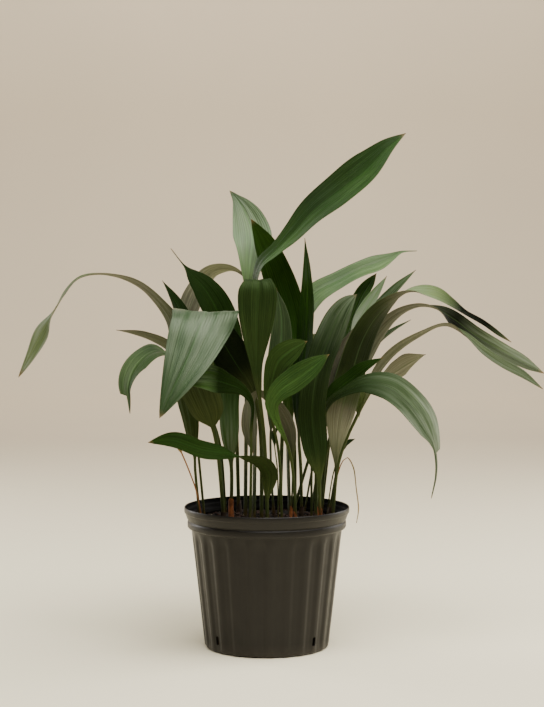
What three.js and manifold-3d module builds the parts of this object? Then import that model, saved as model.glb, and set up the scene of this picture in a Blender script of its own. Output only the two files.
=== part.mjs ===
// Cast iron plant in a fluted nursery pot, free-standing on a flat foot.
// Millimetres, +Z up. The origin is on the ground under the middle of the pot.
// The viewer's side is -Y, and +X is to the viewer's right.

import * as THREE from "three";
import { mergeVertices } from "three/addons/utils/BufferGeometryUtils.js";
import Module from "manifold-3d";

const wasm = await Module();
wasm.setup();

// Pot
const POT_HEIGHT = 216;
const RIM_RADIUS = 127;
const BAND_RADIUS = 122;
const WALL_TOP_RADIUS = 115;
const WALL_BOTTOM_RADIUS = 97;
const FOOT_RADIUS = 91.5;
const WALL = 1.8;
const FLOOR = 3;
const LEDGE_HEIGHT = 183;
const FLUTES = 24;
const FLUTE_DEPTH = 2.2;
const FLUTE_TOP = 173;
const FLUTE_BOTTOM = 14;
const FIRST_RIB_ANGLE = 2.5;
const RIB_HALF_ANGLE = 1.6;
const FLANK_ANGLE = 2.9;
const DRAIN_ANGLES = [41, 139, 219, 317];
const DRAIN_WIDTH = 6;
const DRAIN_DEPTH = 14;
const DRAIN_LOW = 13;
const DRAIN_HIGH = 26.5;
const LIP_LOW = POT_HEIGHT - 11;
const BAND_TOP = POT_HEIGHT - 17;

// The pot's section from the foot up its outside and down its inside to the floor:
// [radius, height, how deep the flutes are there].
const POT_OUTSIDE = [
  [FOOT_RADIUS, 0, 0.5],
  [FOOT_RADIUS + 4.2, 3, 1.1],
  [WALL_BOTTOM_RADIUS, FLUTE_BOTTOM, FLUTE_DEPTH],
  [WALL_TOP_RADIUS, FLUTE_TOP, FLUTE_DEPTH],
  [WALL_TOP_RADIUS + 0.9, LEDGE_HEIGHT, 0],
  [BAND_RADIUS - 1.6, LEDGE_HEIGHT + 0.8, 0],
  [BAND_RADIUS, LEDGE_HEIGHT + 3.5, 0],
  [BAND_RADIUS, BAND_TOP - 2.5, 0],
  [BAND_RADIUS - 0.6, BAND_TOP - 0.5, 0],
  [RIM_RADIUS - 0.8, LIP_LOW - 0.8, 0],
  [RIM_RADIUS, LIP_LOW + 1.5, 0],
  [RIM_RADIUS, POT_HEIGHT - 1.2, 0],
  [RIM_RADIUS - 0.9, POT_HEIGHT, 0],
];
const POT_INSIDE = [
  [RIM_RADIUS - 2.6, POT_HEIGHT, 0],
  [RIM_RADIUS - 3.5, POT_HEIGHT - 1.5, 0],
  [BAND_RADIUS - WALL, BAND_TOP + 1, 0],
  [BAND_RADIUS - WALL - 0.6, LEDGE_HEIGHT + 4.5, 0],
  [WALL_TOP_RADIUS + 0.9 - WALL, LEDGE_HEIGHT + 2.4, 0],
  [WALL_TOP_RADIUS - WALL, FLUTE_TOP, FLUTE_DEPTH],
  [WALL_BOTTOM_RADIUS - WALL, FLUTE_BOTTOM, FLUTE_DEPTH],
  [WALL_BOTTOM_RADIUS - 4, FLOOR, 1],
];

// Soil
const SOIL_HEIGHT = 193;
const SOIL_EDGE_DROP = 2.5;
const SOIL_SIDES = 36;
const SOIL_SWELL = 1.2;
const GAP = 0.35;
const SOIL_BOTTOM_RADIUS = WALL_BOTTOM_RADIUS - FLUTE_DEPTH - WALL - GAP - 0.1;
const SOIL_TOP_RADIUS = WALL_TOP_RADIUS - FLUTE_DEPTH - WALL - GAP - 0.1;
const SOIL_LEDGE_RADIUS = BAND_RADIUS - WALL - GAP - 0.7;

// The soil's section from its bottom up to the middle of its top: [radius, height, swell].
const SOIL_SECTION = [
  [SOIL_BOTTOM_RADIUS - 3, FLOOR + GAP, 0],
  [SOIL_BOTTOM_RADIUS, FLUTE_BOTTOM, 0],
  [SOIL_TOP_RADIUS, FLUTE_TOP, 0],
  [SOIL_TOP_RADIUS, LEDGE_HEIGHT + 3.2, 0],
  [SOIL_LEDGE_RADIUS, LEDGE_HEIGHT + 5.2, 0],
  [SOIL_LEDGE_RADIUS, SOIL_HEIGHT - SOIL_EDGE_DROP, 0],
  [SOIL_LEDGE_RADIUS - 18, SOIL_HEIGHT - 1, SOIL_SWELL],
  [SOIL_LEDGE_RADIUS - 48, SOIL_HEIGHT, SOIL_SWELL],
  [SOIL_LEDGE_RADIUS - 84, SOIL_HEIGHT + 0.5, SOIL_SWELL / 2],
];

// Leaves
const STALK_SHARE = 0.052;
const THINNEST_STALK = 1.1;
const THICKEST_STALK = 3;
const STALK_CORNERS = [150, 90, 30, -30, -90, -150];
const BLADE_ACROSS = [-1, -0.5, 0, 0.5, 1];
const BASE_SHARE = 0.14;
const ROOT_HEIGHT = 174;
const COLLAR_LENGTH = 30;
const BLADE_THICKNESS = 1;
const KEEL = 1.1;
const TIP_HALF_WIDTH = 0.8;
const EDGE_WAVE = 1.6;
const WAVY_HALF_WIDTH = 20;
const STALK_STEP = 62;
const BLADE_STEP = 40;
const TURN_STEP = 28;
const SAMPLES = 16;
const TEAR_CLEAR = 0.03;

// A leaf's points are given as they are seen from an eye in front of the plant, against the
// upright plane through the pot's middle, and each is then moved along its sight line to its
// own depth behind that plane.
const EYE = new THREE.Vector3(8, -2600, 579);
const TOWARDS_VIEWER = new THREE.Vector3(0, -1, 0);

// root: where the stalk stands in the soil, [x, y].
// blade: which point of the path the blade starts at. wide: the blade's full width.
// widest: how far along the blade it is widest, from 0 to 1. widths: the full width at each
// point of the blade instead, for a blade of an uneven outline. cup: how far its edges rise.
// tear: where the torn part of the outline begins and ends, the half width that is left, and
// the side that narrows first.
// path: [across, up, depth, turn] for each point. turn is the angle in degrees, about the leaf's
// own line, from the side that the viewer sees to the leaf's upper face, or a direction that the
// upper face looks in.
const LEAVES = {
  leaf_crown: {
    root: [-20, 12], blade: 2, wide: 62, cup: 0.2, tone: "sheen",
    widths: [8, 28, 26, 36, 52, 60, 56, 32, 2],
    path: [
      [-18, 380, 16, -40], [-20, 480, 18, -50], [-20, 548, 16, -60], [-8, 587, 12, -65],
      [13, 608, 8, -48], [38, 633, 2, -40], [72, 669, -8, -36], [115, 703, -20, -34],
      [155, 735, -32, -38], [184, 765, -42, -46], [212, 787, -50, -55],
    ],
  },
  leaf_pale_upright: {
    root: [-34, 46], blade: 1, wide: 60, cup: 0.12, tone: "pale",
    widths: [7, 34, 62, 52, 30, 12, 2],
    path: [
      [-31, 400, 48, 15], [-29, 548, 50, 15], [-26, 585, 56, 15], [-22, 626, 76, 12],
      [-28, 654, 94, 10], [-39, 678, 110, 8], [-48, 690, 118, 8], [-57, 700, 124, 5],
    ],
  },
  leaf_dark_back: {
    root: [44, 38], blade: 1, wide: 52, cup: 0.14, tone: "dark",
    widths: [7, 26, 46, 52, 48, 32, 2],
    path: [
      [42, 318, 38, -10], [37, 352, 42, -10], [36, 395, 44, -10], [43, 464, 46, -10],
      [32, 525, 48, -10], [16, 576, 46, -15], [-4, 622, 44, -18], [-24, 657, 44, -25],
    ],
  },
  leaf_narrow_upright: {
    root: [54, 14], blade: 1, wide: 52, widest: 0.45, cup: 0.12, tone: "dark",
    path: [
      [52, 275, 14, -58], [49, 325, 16, -58], [52, 400, 18, -60], [60, 465, 18, -60],
      [63, 520, 18, -58], [63, 575, 20, -62], [58, 628, 22, -70],
    ],
  },
  leaf_folded_crest: {
    root: [2, -28], blade: 1, wide: 60, cup: 0.06, tone: "mid",
    widths: [8, 20, 42, 57, 55, 38, 30, 4],
    path: [
      [-4, 318, -34, 0], [-12, 392, -45, 0], [-16, 437, -51, 0], [-16, 479, -55, 0],
      [-15, 522, -57, 0], [-14, 551, -57, 0], [-14, 564, -47, [0, -0.3, 0.95]],
      [-14, 550, -32, [0, 0.8, 0.6]], [-12, 500, -20, [0, 1, 0.2]],
    ],
  },
  leaf_front_left: {
    root: [-8, -6], blade: 1, wide: 84, cup: 0.04, tone: "sheen",
    widths: [18, 54, 56, 96, 87, 71, 46, 24, 2],
    path: [
      [-10, 333, -8, 180], [-20, 390, -13, 180], [-50, 440, -28, 176], [-80, 490, -44, 174],
      [-90, 515, -76, [0, 0, 1]], [-104, 487, -112, 0], [-120, 448, -134, 0],
      [-138, 408, -152, 0], [-152, 379, -162, 0], [-165, 351, -168, 0],
    ],
  },
  leaf_olive_arch: {
    root: [-26, 60], blade: 2, wide: 40, widest: 0.6, cup: 0.12, tone: "olive",
    path: [
      [-23, 379, 66, 170], [-23, 502, 72, 150], [-28, 560, 78, 110], [-53, 580, 84, 108],
      [-82, 577, 92, 125], [-105, 550, 98, 145], [-121, 512, 102, 158], [-130, 475, 104, 165],
    ],
  },
  leaf_right_pale: {
    root: [36, 34], blade: 1, wide: 54, cup: 0.1, tone: "pale",
    widths: [7, 44, 54, 43, 39, 37, 21, 8, 2],
    path: [
      [32, 333, 48, -50], [34, 400, 60, -50], [46, 490, 70, -50], [72, 539, 76, -50],
      [112, 563, 86, -48], [143, 579, 92, -48], [170, 589, 97, -50], [190, 598, 102, -55],
      [206, 606, 105, -66], [230, 608, 110, -78],
    ],
  },
  leaf_upper_left: {
    root: [-56, 4], blade: 1, wide: 54, cup: 0.12, tone: "dark",
    widths: [7, 26, 37, 55, 54, 44, 27, 7, 2],
    path: [
      [-54, 262, 4, 20], [-55, 284, 4, 20], [-57, 318, 4, 20], [-59, 385, 6, 25],
      [-60, 450, 10, 30], [-74, 512, 14, 32], [-95, 550, 18, 32], [-113, 570, 21, 38],
      [-127, 586, 24, 66], [-147, 612, 28, 74],
    ],
  },
  leaf_small_left: {
    root: [-66, 34], blade: 2, wide: 32, widest: 0.5, cup: 0.12, tone: "dark",
    path: [
      [-72, 290, 42, 30], [-84, 348, 50, 40], [-100, 420, 56, 50], [-118, 475, 62, 50],
      [-134, 520, 66, 50], [-148, 545, 70, 50], [-160, 563, 74, 60],
    ],
  },
  leaf_long_left: {
    root: [-64, -6], blade: 1, wide: 58, cup: 0.1, tone: "olive",
    widths: [7, 44, 60, 58, 50, 46, 38, 32, 27, 26, 24, 28, 17, 2],
    path: [
      [-76, 305, -24, 165], [-83, 338, -28, 165], [-88, 354, -30, 162], [-99, 382, -32, 160],
      [-132, 462, -22, 138], [-151, 510, -8, 115], [-191, 552, 2, 107], [-232, 569, 14, 98],
      [-263, 572, 22, 93], [-289, 565, 28, 84], [-308, 544, 34, 76], [-325, 516, 40, 82],
      [-345, 480, 44, 25], [-362, 447, 46, 20], [-381, 414, 48, 20],
    ],
  },
  leaf_left_olive: {
    root: [-95, 26], blade: 1, wide: 40, widest: 0.5, cup: 0.1, tone: "olive",
    path: [
      [-104, 285, 36, 125], [-107, 315, 42, 122], [-124, 405, 56, 120], [-148, 458, 70, 118],
      [-179, 475, 84, 118], [-206, 483, 94, 115], [-231, 487, 102, 108],
    ],
  },
  leaf_left_drooping: {
    root: [-100, -8], blade: 1, wide: 42, cup: 0.1, tone: "mid",
    widths: [7, 20, 34, 40, 42, 44, 44, 38, 20, 3],
    tear: { from: 0.76, to: 0.9, keep: 5, side: -1 },
    path: [
      [-110, 270, -4, 150], [-111, 296, -2, 150], [-114, 320, 0, 150], [-121, 365, 8, 145],
      [-137, 418, 18, 125], [-158, 453, 16, 92], [-181, 450, -6, 58], [-203, 427, -28, 40],
      [-212, 398, -46, 38], [-211, 375, -50, 38], [-210, 358, -52, 38],
    ],
  },
  leaf_right_drooping: {
    root: [74, -30], blade: 1, wide: 58, cup: 0.08, tone: "sheen",
    widths: [7, 12, 16, 32, 54, 58, 52, 30, 12, 4, 2],
    tear: { from: 0.69, to: 0.78, keep: 2.5, side: 1 },
    path: [
      [78, 302, -32, -40], [85, 350, -34, -40], [98, 378, -38, -40], [120, 392, -42, -40],
      [150, 404, -48, -42], [187, 400, -56, -42], [216, 379, -64, -40], [239, 350, -72, -38],
      [254, 318, -78, -35], [260, 290, -80, -32], [260, 262, -82, -30], [253, 227, -84, -25],
    ],
  },
  leaf_right_shade: {
    root: [68, -12], blade: 1, wide: 36, widest: 0.55, cup: 0.1, tone: "dark",
    path: [
      [72, 318, -14, -45], [84, 362, -12, -45], [104, 392, -12, -48], [128, 412, -12, -52],
      [154, 432, -18, -60], [179, 445, -18, -75],
    ],
  },
  leaf_right_low: {
    root: [92, 20], blade: 3, wide: 40, widest: 0.55, cup: 0.1, tone: "olive",
    path: [
      [115, 300, 26, -140], [138, 352, 32, -140], [150, 376, 36, -140], [166, 400, 40, -140],
      [192, 420, 46, -138], [216, 436, 52, -136], [244, 450, 60, -120],
    ],
  },
  leaf_right_arch: {
    root: [100, -10], blade: 2, wide: 44, cup: 0.1, tone: "olive",
    widths: [6, 36, 44, 44, 40, 30, 26, 24, 18, 2],
    path: [
      [110, 280, -8, -120], [127, 330, -4, -120], [150, 380, 0, -120], [169, 422, 6, -118],
      [196, 453, 12, -115], [234, 479, 20, -106], [273, 494, 28, -94], [303, 480, 34, -74],
      [331, 456, 38, -58], [360, 436, 42, -54], [395, 417, 44, -54], [424, 396, 46, -58],
    ],
  },
  leaf_right_twisted: {
    root: [98, 8], blade: 1, wide: 46, cup: 0.1, tone: "olive",
    widths: [7, 30, 50, 54, 50, 46, 44, 42, 39, 31, 21, 12, 9, 8, 2],
    path: [
      [106, 255, 8, -160], [107, 282, 8, -160], [109, 322, 8, -160], [115, 362, 9, -158],
      [129, 415, 14, -150], [146, 470, 22, -145], [170, 510, 30, -132], [200, 536, 38, -105],
      [220, 546, 44, -82], [240, 546, 48, -62], [262, 541, 53, -48], [283, 528, 57, -50],
      [303, 514, 60, -52], [332, 498, 66, -32], [357, 480, 70, -40], [375, 468, 72, -60],
    ],
  },
  leaf_far_right: {
    root: [82, 40], blade: 2, wide: 46, cup: 0.1, tone: "olive",
    widths: [7, 40, 46, 46, 42, 36, 29, 32, 34, 27, 2],
    path: [
      [92, 300, 44, -140], [106, 352, 50, -140], [124, 392, 58, -138], [150, 444, 66, -135],
      [170, 479, 74, -130], [196, 507, 82, -118], [227, 522, 92, -100], [256, 521, 102, -80],
      [286, 504, 114, -30], [320, 479, 124, -36], [366, 452, 138, -50], [400, 434, 148, -56],
      [426, 420, 154, -60],
    ],
  },
  leaf_right_spear_dark: {
    root: [84, 62], blade: 1, wide: 34, cup: 0.12, tone: "dark",
    widths: [6, 22, 28, 34, 24, 2],
    path: [
      [97, 318, 74, -60], [106, 385, 82, -60], [118, 456, 92, -60], [129, 500, 98, -58],
      [145, 539, 104, -57], [158, 560, 108, -57], [168, 574, 111, -60],
    ],
  },
  leaf_right_spear_pale: {
    root: [80, 18], blade: 1, wide: 44, widest: 0.55, cup: 0.1, tone: "pale",
    path: [
      [86, 310, 22, -160], [89, 335, 24, -158], [98, 390, 28, -148], [112, 440, 34, -128],
      [128, 478, 40, -96], [145, 508, 46, -68], [163, 538, 54, -50], [184, 570, 60, -40],
    ],
  },
  leaf_right_spear_slim: {
    root: [66, 72], blade: 1, wide: 34, widest: 0.58, cup: 0.12, tone: "mid",
    path: [
      [89, 333, 92, -60], [112, 405, 104, -60], [140, 468, 116, -60], [170, 518, 124, -60],
      [198, 551, 132, -60], [228, 579, 140, -65],
    ],
  },
  leaf_front_upright: {
    root: [80, -62], blade: 1, wide: 46, cup: 0.1, tone: "sheen",
    widths: [10, 34, 42, 42, 44, 46, 38, 24, 2],
    path: [
      [81, 240, -62, -18], [80, 262, -62, -18], [76, 296, -62, -18], [72, 330, -62, -18],
      [70, 365, -62, -20], [78, 422, -60, -25], [96, 475, -58, -30], [113, 513, -54, -34],
      [125, 530, -52, -36], [138, 542, -50, -40],
    ],
  },
  leaf_bright_upper: {
    root: [24, -42], blade: 1, wide: 40, cup: 0.12, tone: "bright",
    widths: [5, 16, 28, 40, 38, 26, 2],
    path: [
      [18, 300, -46, -10], [6, 360, -54, -10], [4, 386, -60, -12], [9, 413, -66, -16],
      [18, 438, -74, -22], [33, 452, -80, -26], [48, 462, -84, -32], [62, 470, -88, -40],
    ],
  },
  leaf_bright_lower: {
    root: [46, -50], blade: 1, wide: 42, cup: 0.12, tone: "bright",
    widths: [5, 12, 22, 32, 40, 34, 20, 2],
    path: [
      [38, 285, -58, -10], [30, 315, -66, -10], [15, 348, -76, -10], [8, 374, -84, -14],
      [20, 394, -90, -18], [42, 410, -96, -22], [65, 426, -102, -28], [83, 440, -106, -40],
      [96, 450, -108, -55],
    ],
  },
  leaf_low_arch: {
    root: [36, -10], blade: 1, wide: 26, cup: 0.1, tone: "olive",
    widths: [6, 20, 24, 18, 12, 18, 25, 2],
    path: [
      [40, 268, -10, 165], [40, 296, -10, 162], [35, 333, -13, 158], [21, 361, -18, 155],
      [4, 382, -24, 150], [-14, 390, -27, 142], [-26, 374, -27, 150], [-26, 337, -26, 162],
      [-20, 296, -25, 165],
    ],
  },
  leaf_crescent: {
    root: [-26, -50], blade: 1, wide: 42, cup: 0.1, tone: "bright",
    widths: [5, 9, 18, 32, 44, 36, 2],
    path: [
      [-24, 285, -54, 40], [-24, 330, -56, 40], [-23, 374, -64, 40], [-38, 395, -76, 36],
      [-62, 405, -92, 32], [-84, 411, -106, 30], [-106, 412, -118, 30], [-130, 404, -126, 30],
    ],
  },
  leaf_low_front: {
    root: [0, -72], blade: 1, wide: 34, cup: 0.1, tone: "dark",
    widths: [10, 24, 28, 28, 32, 34, 30, 2],
    path: [
      [1, 222, -74, 180], [1, 234, -74, 178], [4, 262, -80, 165], [-6, 281, -92, 142],
      [-33, 291, -108, 112], [-64, 297, -122, 68], [-102, 303, -138, 50], [-145, 317, -154, 45],
      [-183, 314, -166, 45],
    ],
  },
  leaf_grey_middle: {
    root: [12, 24], blade: 1, wide: 36, widest: 0.55, cup: 0.1, tone: "pale",
    path: [
      [6, 290, 22, 0], [6, 330, 22, 0], [14, 410, 22, 0], [22, 470, 22, -5], [22, 515, 22, -5],
      [14, 552, 24, -5],
    ],
  },
  leaf_small_folded: {
    root: [18, -8], blade: 1, wide: 12, widest: 0.5, cup: 0.3, tone: "dark",
    path: [
      [16, 275, -4, 50], [12, 308, -4, 50], [10, 330, -6, 50], [20, 340, -10, 20],
    ],
  },
  leaf_dry_strip: {
    root: [90, 44], blade: 2, wide: 6, widest: 0.4, cup: 0.1, tone: "dry",
    path: [
      [108, 262, 40, -90], [117, 286, 36, -90], [124, 291, 34, -90], [133, 277, 32, -90],
      [138, 241, 32, -80], [141, 210, 32, -60], [138, 189, 32, -60],
    ],
  },
  leaf_dry_shoot: {
    root: [-96, -26], blade: 2, wide: 6, widest: 0.4, cup: 0.1, tone: "dry",
    path: [
      [-107, 234, -28, 0], [-119, 269, -32, 0], [-131, 298, -36, 0], [-140, 316, -40, 0],
    ],
  },
  leaf_back_tip_right: {
    root: [56, 92], blade: 1, wide: 34, widest: 0.5, cup: 0.12, tone: "mid",
    path: [
      [80, 320, 112, -60], [104, 385, 132, -60], [144, 440, 152, -65], [184, 480, 170, -75],
      [221, 503, 184, -80],
    ],
  },
  leaf_short_right: {
    root: [92, 62], blade: 1, wide: 14, widest: 0.5, cup: 0.1, tone: "mid",
    path: [
      [102, 265, 62, -60], [112, 296, 62, -60], [122, 312, 62, -60], [136, 320, 62, -60],
    ],
  },
  leaf_back_left: {
    root: [-44, 68], blade: 1, wide: 56, widest: 0.5, cup: 0.1, tone: "mid",
    path: [
      [-46, 320, 76, 0], [-48, 365, 86, 0], [-54, 425, 116, [0, -0.7, 0.7]],
      [-60, 455, 164, [0, -0.2, 1]], [-66, 448, 216, [0, 0.4, 0.9]],
      [-70, 415, 262, [0, 0.8, 0.6]], [-72, 375, 290, [0, 1, 0.3]],
    ],
  },
  leaf_back_middle: {
    root: [20, 72], blade: 1, wide: 60, widest: 0.5, cup: 0.1, tone: "mid",
    path: [
      [24, 330, 82, 0], [28, 385, 96, 0], [34, 446, 128, [0, -0.7, 0.7]],
      [42, 476, 180, [0, -0.2, 1]], [52, 470, 238, [0, 0.4, 0.9]],
      [62, 436, 286, [0, 0.8, 0.6]], [68, 392, 316, [0, 1, 0.3]],
    ],
  },
  leaf_back_low_left: {
    root: [-64, 66], blade: 1, wide: 44, widest: 0.5, cup: 0.1, tone: "mid",
    path: [
      [-72, 310, 78, 20], [-82, 345, 92, 20], [-102, 392, 128, [-0.2, -0.6, 0.8]],
      [-116, 404, 172, [-0.2, 0, 1]], [-124, 384, 216, [-0.2, 0.6, 0.8]],
      [-126, 350, 246, [-0.2, 0.9, 0.4]],
    ],
  },
  leaf_back_low_right: {
    root: [36, 92], blade: 1, wide: 46, widest: 0.5, cup: 0.1, tone: "mid",
    path: [
      [70, 305, 116, -20], [88, 348, 138, -20], [108, 388, 176, [0.3, -0.6, 0.8]],
      [124, 402, 222, [0.3, 0, 1]], [136, 388, 266, [0.3, 0.6, 0.8]],
      [142, 352, 298, [0.3, 0.9, 0.4]],
    ],
  },
};

const LEAF_TONES = {
  dark: { color: 0x24381c, roughness: 0.5 },
  mid: { color: 0x35522a, roughness: 0.48 },
  bright: { color: 0x4c6b2c, roughness: 0.5 },
  sheen: { color: 0x44603f, roughness: 0.42 },
  pale: { color: 0x77906f, roughness: 0.45 },
  olive: { color: 0x55573c, roughness: 0.55 },
  dry: { color: 0x8a7a4a, roughness: 0.7 },
};

const lerp = THREE.MathUtils.lerp;
const radians = THREE.MathUtils.degToRad;

function addPoints(corners, ...points) {
  points.forEach((point) => corners.push(point.x, point.y, point.z));
}

// The faces between two rings of one count.
function ringCorners(low, high) {
  const corners = [];
  for (let j = 0; j < low.length; j += 1) {
    const k = (j + 1) % low.length;
    addPoints(corners, low[j], low[k], high[k]);
    addPoints(corners, low[j], high[k], high[j]);
  }
  return corners;
}

// Rings of points joined into a closed skin. A ring of one point closes each end.
function skinFromRings(rings) {
  const corners = [];
  for (let i = 1; i + 2 < rings.length; i += 1) {
    corners.push(...ringCorners(rings[i], rings[i + 1]));
  }
  const [first] = rings[0];
  const [last] = rings[rings.length - 1];
  const low = rings[1];
  const high = rings[rings.length - 2];
  for (let j = 0; j < low.length; j += 1) {
    const k = (j + 1) % low.length;
    addPoints(corners, first, low[k], low[j]);
    addPoints(corners, high[j], high[k], last);
  }
  return geometryFromCorners(corners);
}

function geometryFromCorners(corners) {
  const loose = new THREE.BufferGeometry();
  loose.setAttribute("position", new THREE.Float32BufferAttribute(corners, 3));
  const geometry = mergeVertices(loose, 1e-3);
  if (signedVolume(geometry) < 0) {
    const index = geometry.index.array;
    for (let i = 0; i < index.length; i += 3) {
      [index[i], index[i + 1]] = [index[i + 1], index[i]];
    }
  }
  return geometry;
}

function signedVolume(geometry) {
  const place = geometry.attributes.position;
  const index = geometry.index;
  const a = new THREE.Vector3();
  const b = new THREE.Vector3();
  const c = new THREE.Vector3();
  let total = 0;
  for (let i = 0; i < index.count; i += 3) {
    a.fromBufferAttribute(place, index.getX(i));
    b.fromBufferAttribute(place, index.getX(i + 1));
    c.fromBufferAttribute(place, index.getX(i + 2));
    total += a.dot(b.clone().cross(c)) / 6;
  }
  return total;
}

function toSolid(geometry) {
  return new wasm.Manifold(new wasm.Mesh({
    numProp: 3,
    vertProperties: new Float32Array(geometry.attributes.position.array),
    triVerts: new Uint32Array(geometry.index.array),
  }));
}

function fromSolid(solid) {
  const mesh = solid.getMesh();
  const geometry = new THREE.BufferGeometry();
  geometry.setAttribute("position", new THREE.BufferAttribute(mesh.vertProperties, 3));
  geometry.setIndex(new THREE.BufferAttribute(mesh.triVerts, 1));
  return geometry;
}

// Pot

// The angles of the flutes' corners: each raised rib's two sides, then its channel's two feet.
function fluteCorners() {
  const corners = [];
  for (let i = 0; i < FLUTES; i += 1) {
    const middle = FIRST_RIB_ANGLE + (i * 360) / FLUTES;
    corners.push({ angle: middle - RIB_HALF_ANGLE, sunk: 0 });
    corners.push({ angle: middle + RIB_HALF_ANGLE, sunk: 0 });
    corners.push({ angle: middle + RIB_HALF_ANGLE + FLANK_ANGLE, sunk: 1 });
    corners.push({ angle: middle + 360 / FLUTES - RIB_HALF_ANGLE - FLANK_ANGLE, sunk: 1 });
  }
  return corners;
}

function potRing(radius, height, depth) {
  return fluteCorners().map(({ angle, sunk }) => {
    const r = radius - depth * sunk;
    return new THREE.Vector3(r * Math.cos(radians(angle)), r * Math.sin(radians(angle)), height);
  });
}

function makePot() {
  const shell = skinFromRings([
    [new THREE.Vector3(0, 0, 0)],
    ...POT_OUTSIDE.map(([radius, height, depth]) => potRing(radius, height, depth)),
    ...POT_INSIDE.map(([radius, height, depth]) => potRing(radius, height, depth)),
    [new THREE.Vector3(0, 0, FLOOR)],
  ]);
  return fromSolid(drainSlots().reduce((solid, slot) => solid.subtract(slot), toSolid(shell)));
}

function drainSlots() {
  const height = DRAIN_HIGH - DRAIN_LOW;
  return DRAIN_ANGLES.map((angle) => {
    const box = new THREE.BoxGeometry(DRAIN_DEPTH, DRAIN_WIDTH, height);
    box.translate(WALL_BOTTOM_RADIUS, 0, DRAIN_LOW + height / 2);
    box.rotateZ(radians(angle));
    box.deleteAttribute("normal");
    box.deleteAttribute("uv");
    return toSolid(mergeVertices(box, 1e-3));
  });
}

// Soil

function soilRing(radius, height, swell) {
  const ring = [];
  for (let i = 0; i < SOIL_SIDES; i += 1) {
    const angle = (i * 2 * Math.PI) / SOIL_SIDES;
    const lift = swell * (Math.sin(3 * angle + radius / 20) + Math.sin(7 * angle - radius / 9));
    ring.push(new THREE.Vector3(radius * Math.cos(angle), radius * Math.sin(angle), height + lift));
  }
  return ring;
}

function makeSoil(leaves) {
  const plug = skinFromRings([
    [new THREE.Vector3(0, 0, FLOOR + GAP)],
    ...SOIL_SECTION.map(([radius, height, swell]) => soilRing(radius, height, swell)),
    [new THREE.Vector3(0, 0, SOIL_HEIGHT + 1)],
  ]);
  const holes = leaves.map((leaf) => toSolid(stalkHole(leaf)));
  return fromSolid(holes.reduce((solid, hole) => solid.subtract(hole), toSolid(plug)));
}

// Leaves

function seenPoint([across, up, depth]) {
  const far = 1 + depth / -EYE.y;
  return new THREE.Vector3(
    EYE.x + (across - EYE.x) * far,
    depth,
    EYE.z + (up - EYE.z) * far,
  );
}

// The way that the leaf's upper face looks where its line runs along `along`.
function upperFace(turn, along) {
  if (Array.isArray(turn)) {
    const look = new THREE.Vector3(...turn);
    return look.addScaledVector(along, -look.dot(along)).normalize();
  }
  const seen = TOWARDS_VIEWER.clone();
  seen.addScaledVector(along, -seen.dot(along)).normalize();
  const beside = along.clone().cross(seen);
  const angle = radians(turn);
  return seen.multiplyScalar(Math.cos(angle)).addScaledVector(beside, Math.sin(angle));
}

// The leaf's middle line as many close samples, each with its place, direction, upper face and
// distance from the root.
function leafLine(leaf) {
  const points = leaf.path.map(seenPoint);
  points.unshift(new THREE.Vector3(leaf.root[0], leaf.root[1], ROOT_HEIGHT));
  const curve = new THREE.CatmullRomCurve3(points, false, "centripetal");
  const last = points.length - 1;
  const turns = [leaf.path[0][3], ...leaf.path.map((point) => point[3])];
  const faces = turns.map((turn, i) => upperFace(turn, curve.getTangent(i / last)));
  const samples = [];
  let distance = 0;
  for (let i = 0; i <= last * SAMPLES; i += 1) {
    const t = i / (last * SAMPLES);
    const place = curve.getPoint(t);
    const along = curve.getTangent(t);
    const from = Math.min(Math.floor(i / SAMPLES), last - 1);
    const face = faces[from].clone().lerp(faces[from + 1], i / SAMPLES - from);
    face.addScaledVector(along, -face.dot(along)).normalize();
    if (i > 0) {
      distance += place.distanceTo(samples[i - 1].place);
    }
    samples.push({ place, along, face, distance });
  }
  const bladeKnots = samples
    .filter((sample, i) => i % SAMPLES === 0 && i >= (leaf.blade + 1) * SAMPLES)
    .map((sample) => sample.distance);
  return { samples, bladeStart: bladeKnots[0], bladeKnots, length: distance };
}

function sampleAt(line, distance) {
  const { samples } = line;
  let i = 1;
  while (i < samples.length - 1 && samples[i].distance < distance) {
    i += 1;
  }
  const a = samples[i - 1];
  const b = samples[i];
  const t = THREE.MathUtils.clamp((distance - a.distance) / (b.distance - a.distance), 0, 1);
  return {
    place: a.place.clone().lerp(b.place, t),
    along: a.along.clone().lerp(b.along, t).normalize(),
    face: a.face.clone().lerp(b.face, t).normalize(),
    distance,
  };
}

// Distances between `start` and `end`, closer together where the leaf bends or twists.
function stationDistances(line, start, end, step) {
  const inside = line.samples.filter((s) => s.distance > start && s.distance < end);
  const run = [sampleAt(line, start), ...inside, sampleAt(line, end)];
  const effort = [0];
  for (let i = 1; i < run.length; i += 1) {
    const a = run[i - 1];
    const b = run[i];
    const bend = a.along.angleTo(b.along) + 0.6 * a.face.angleTo(b.face);
    effort.push(effort[i - 1] + (b.distance - a.distance) / step + bend / radians(TURN_STEP));
  }
  const total = effort[effort.length - 1];
  const count = Math.max(2, Math.round(total));
  const distances = [];
  let i = 1;
  for (let k = 1; k <= count; k += 1) {
    const goal = (total * k) / count;
    while (i < run.length - 1 && effort[i] < goal) {
      i += 1;
    }
    const t = (goal - effort[i - 1]) / Math.max(effort[i] - effort[i - 1], 1e-9);
    distances.push(lerp(run[i - 1].distance, run[i].distance, Math.min(t, 1)));
  }
  return distances;
}

// How wide the blade is at u, from 0 at its base to 1 at its tip, as a share of its full width.
function bladeShape(u, widest) {
  if (u < widest) {
    return 1 - (1 - u / widest) ** 2.2;
  }
  return (1 - ((u - widest) / (1 - widest)) ** 2) ** 1.15;
}

function stalkRadius(leaf) {
  return THREE.MathUtils.clamp(leaf.wide * STALK_SHARE, THINNEST_STALK, THICKEST_STALK);
}

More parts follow.
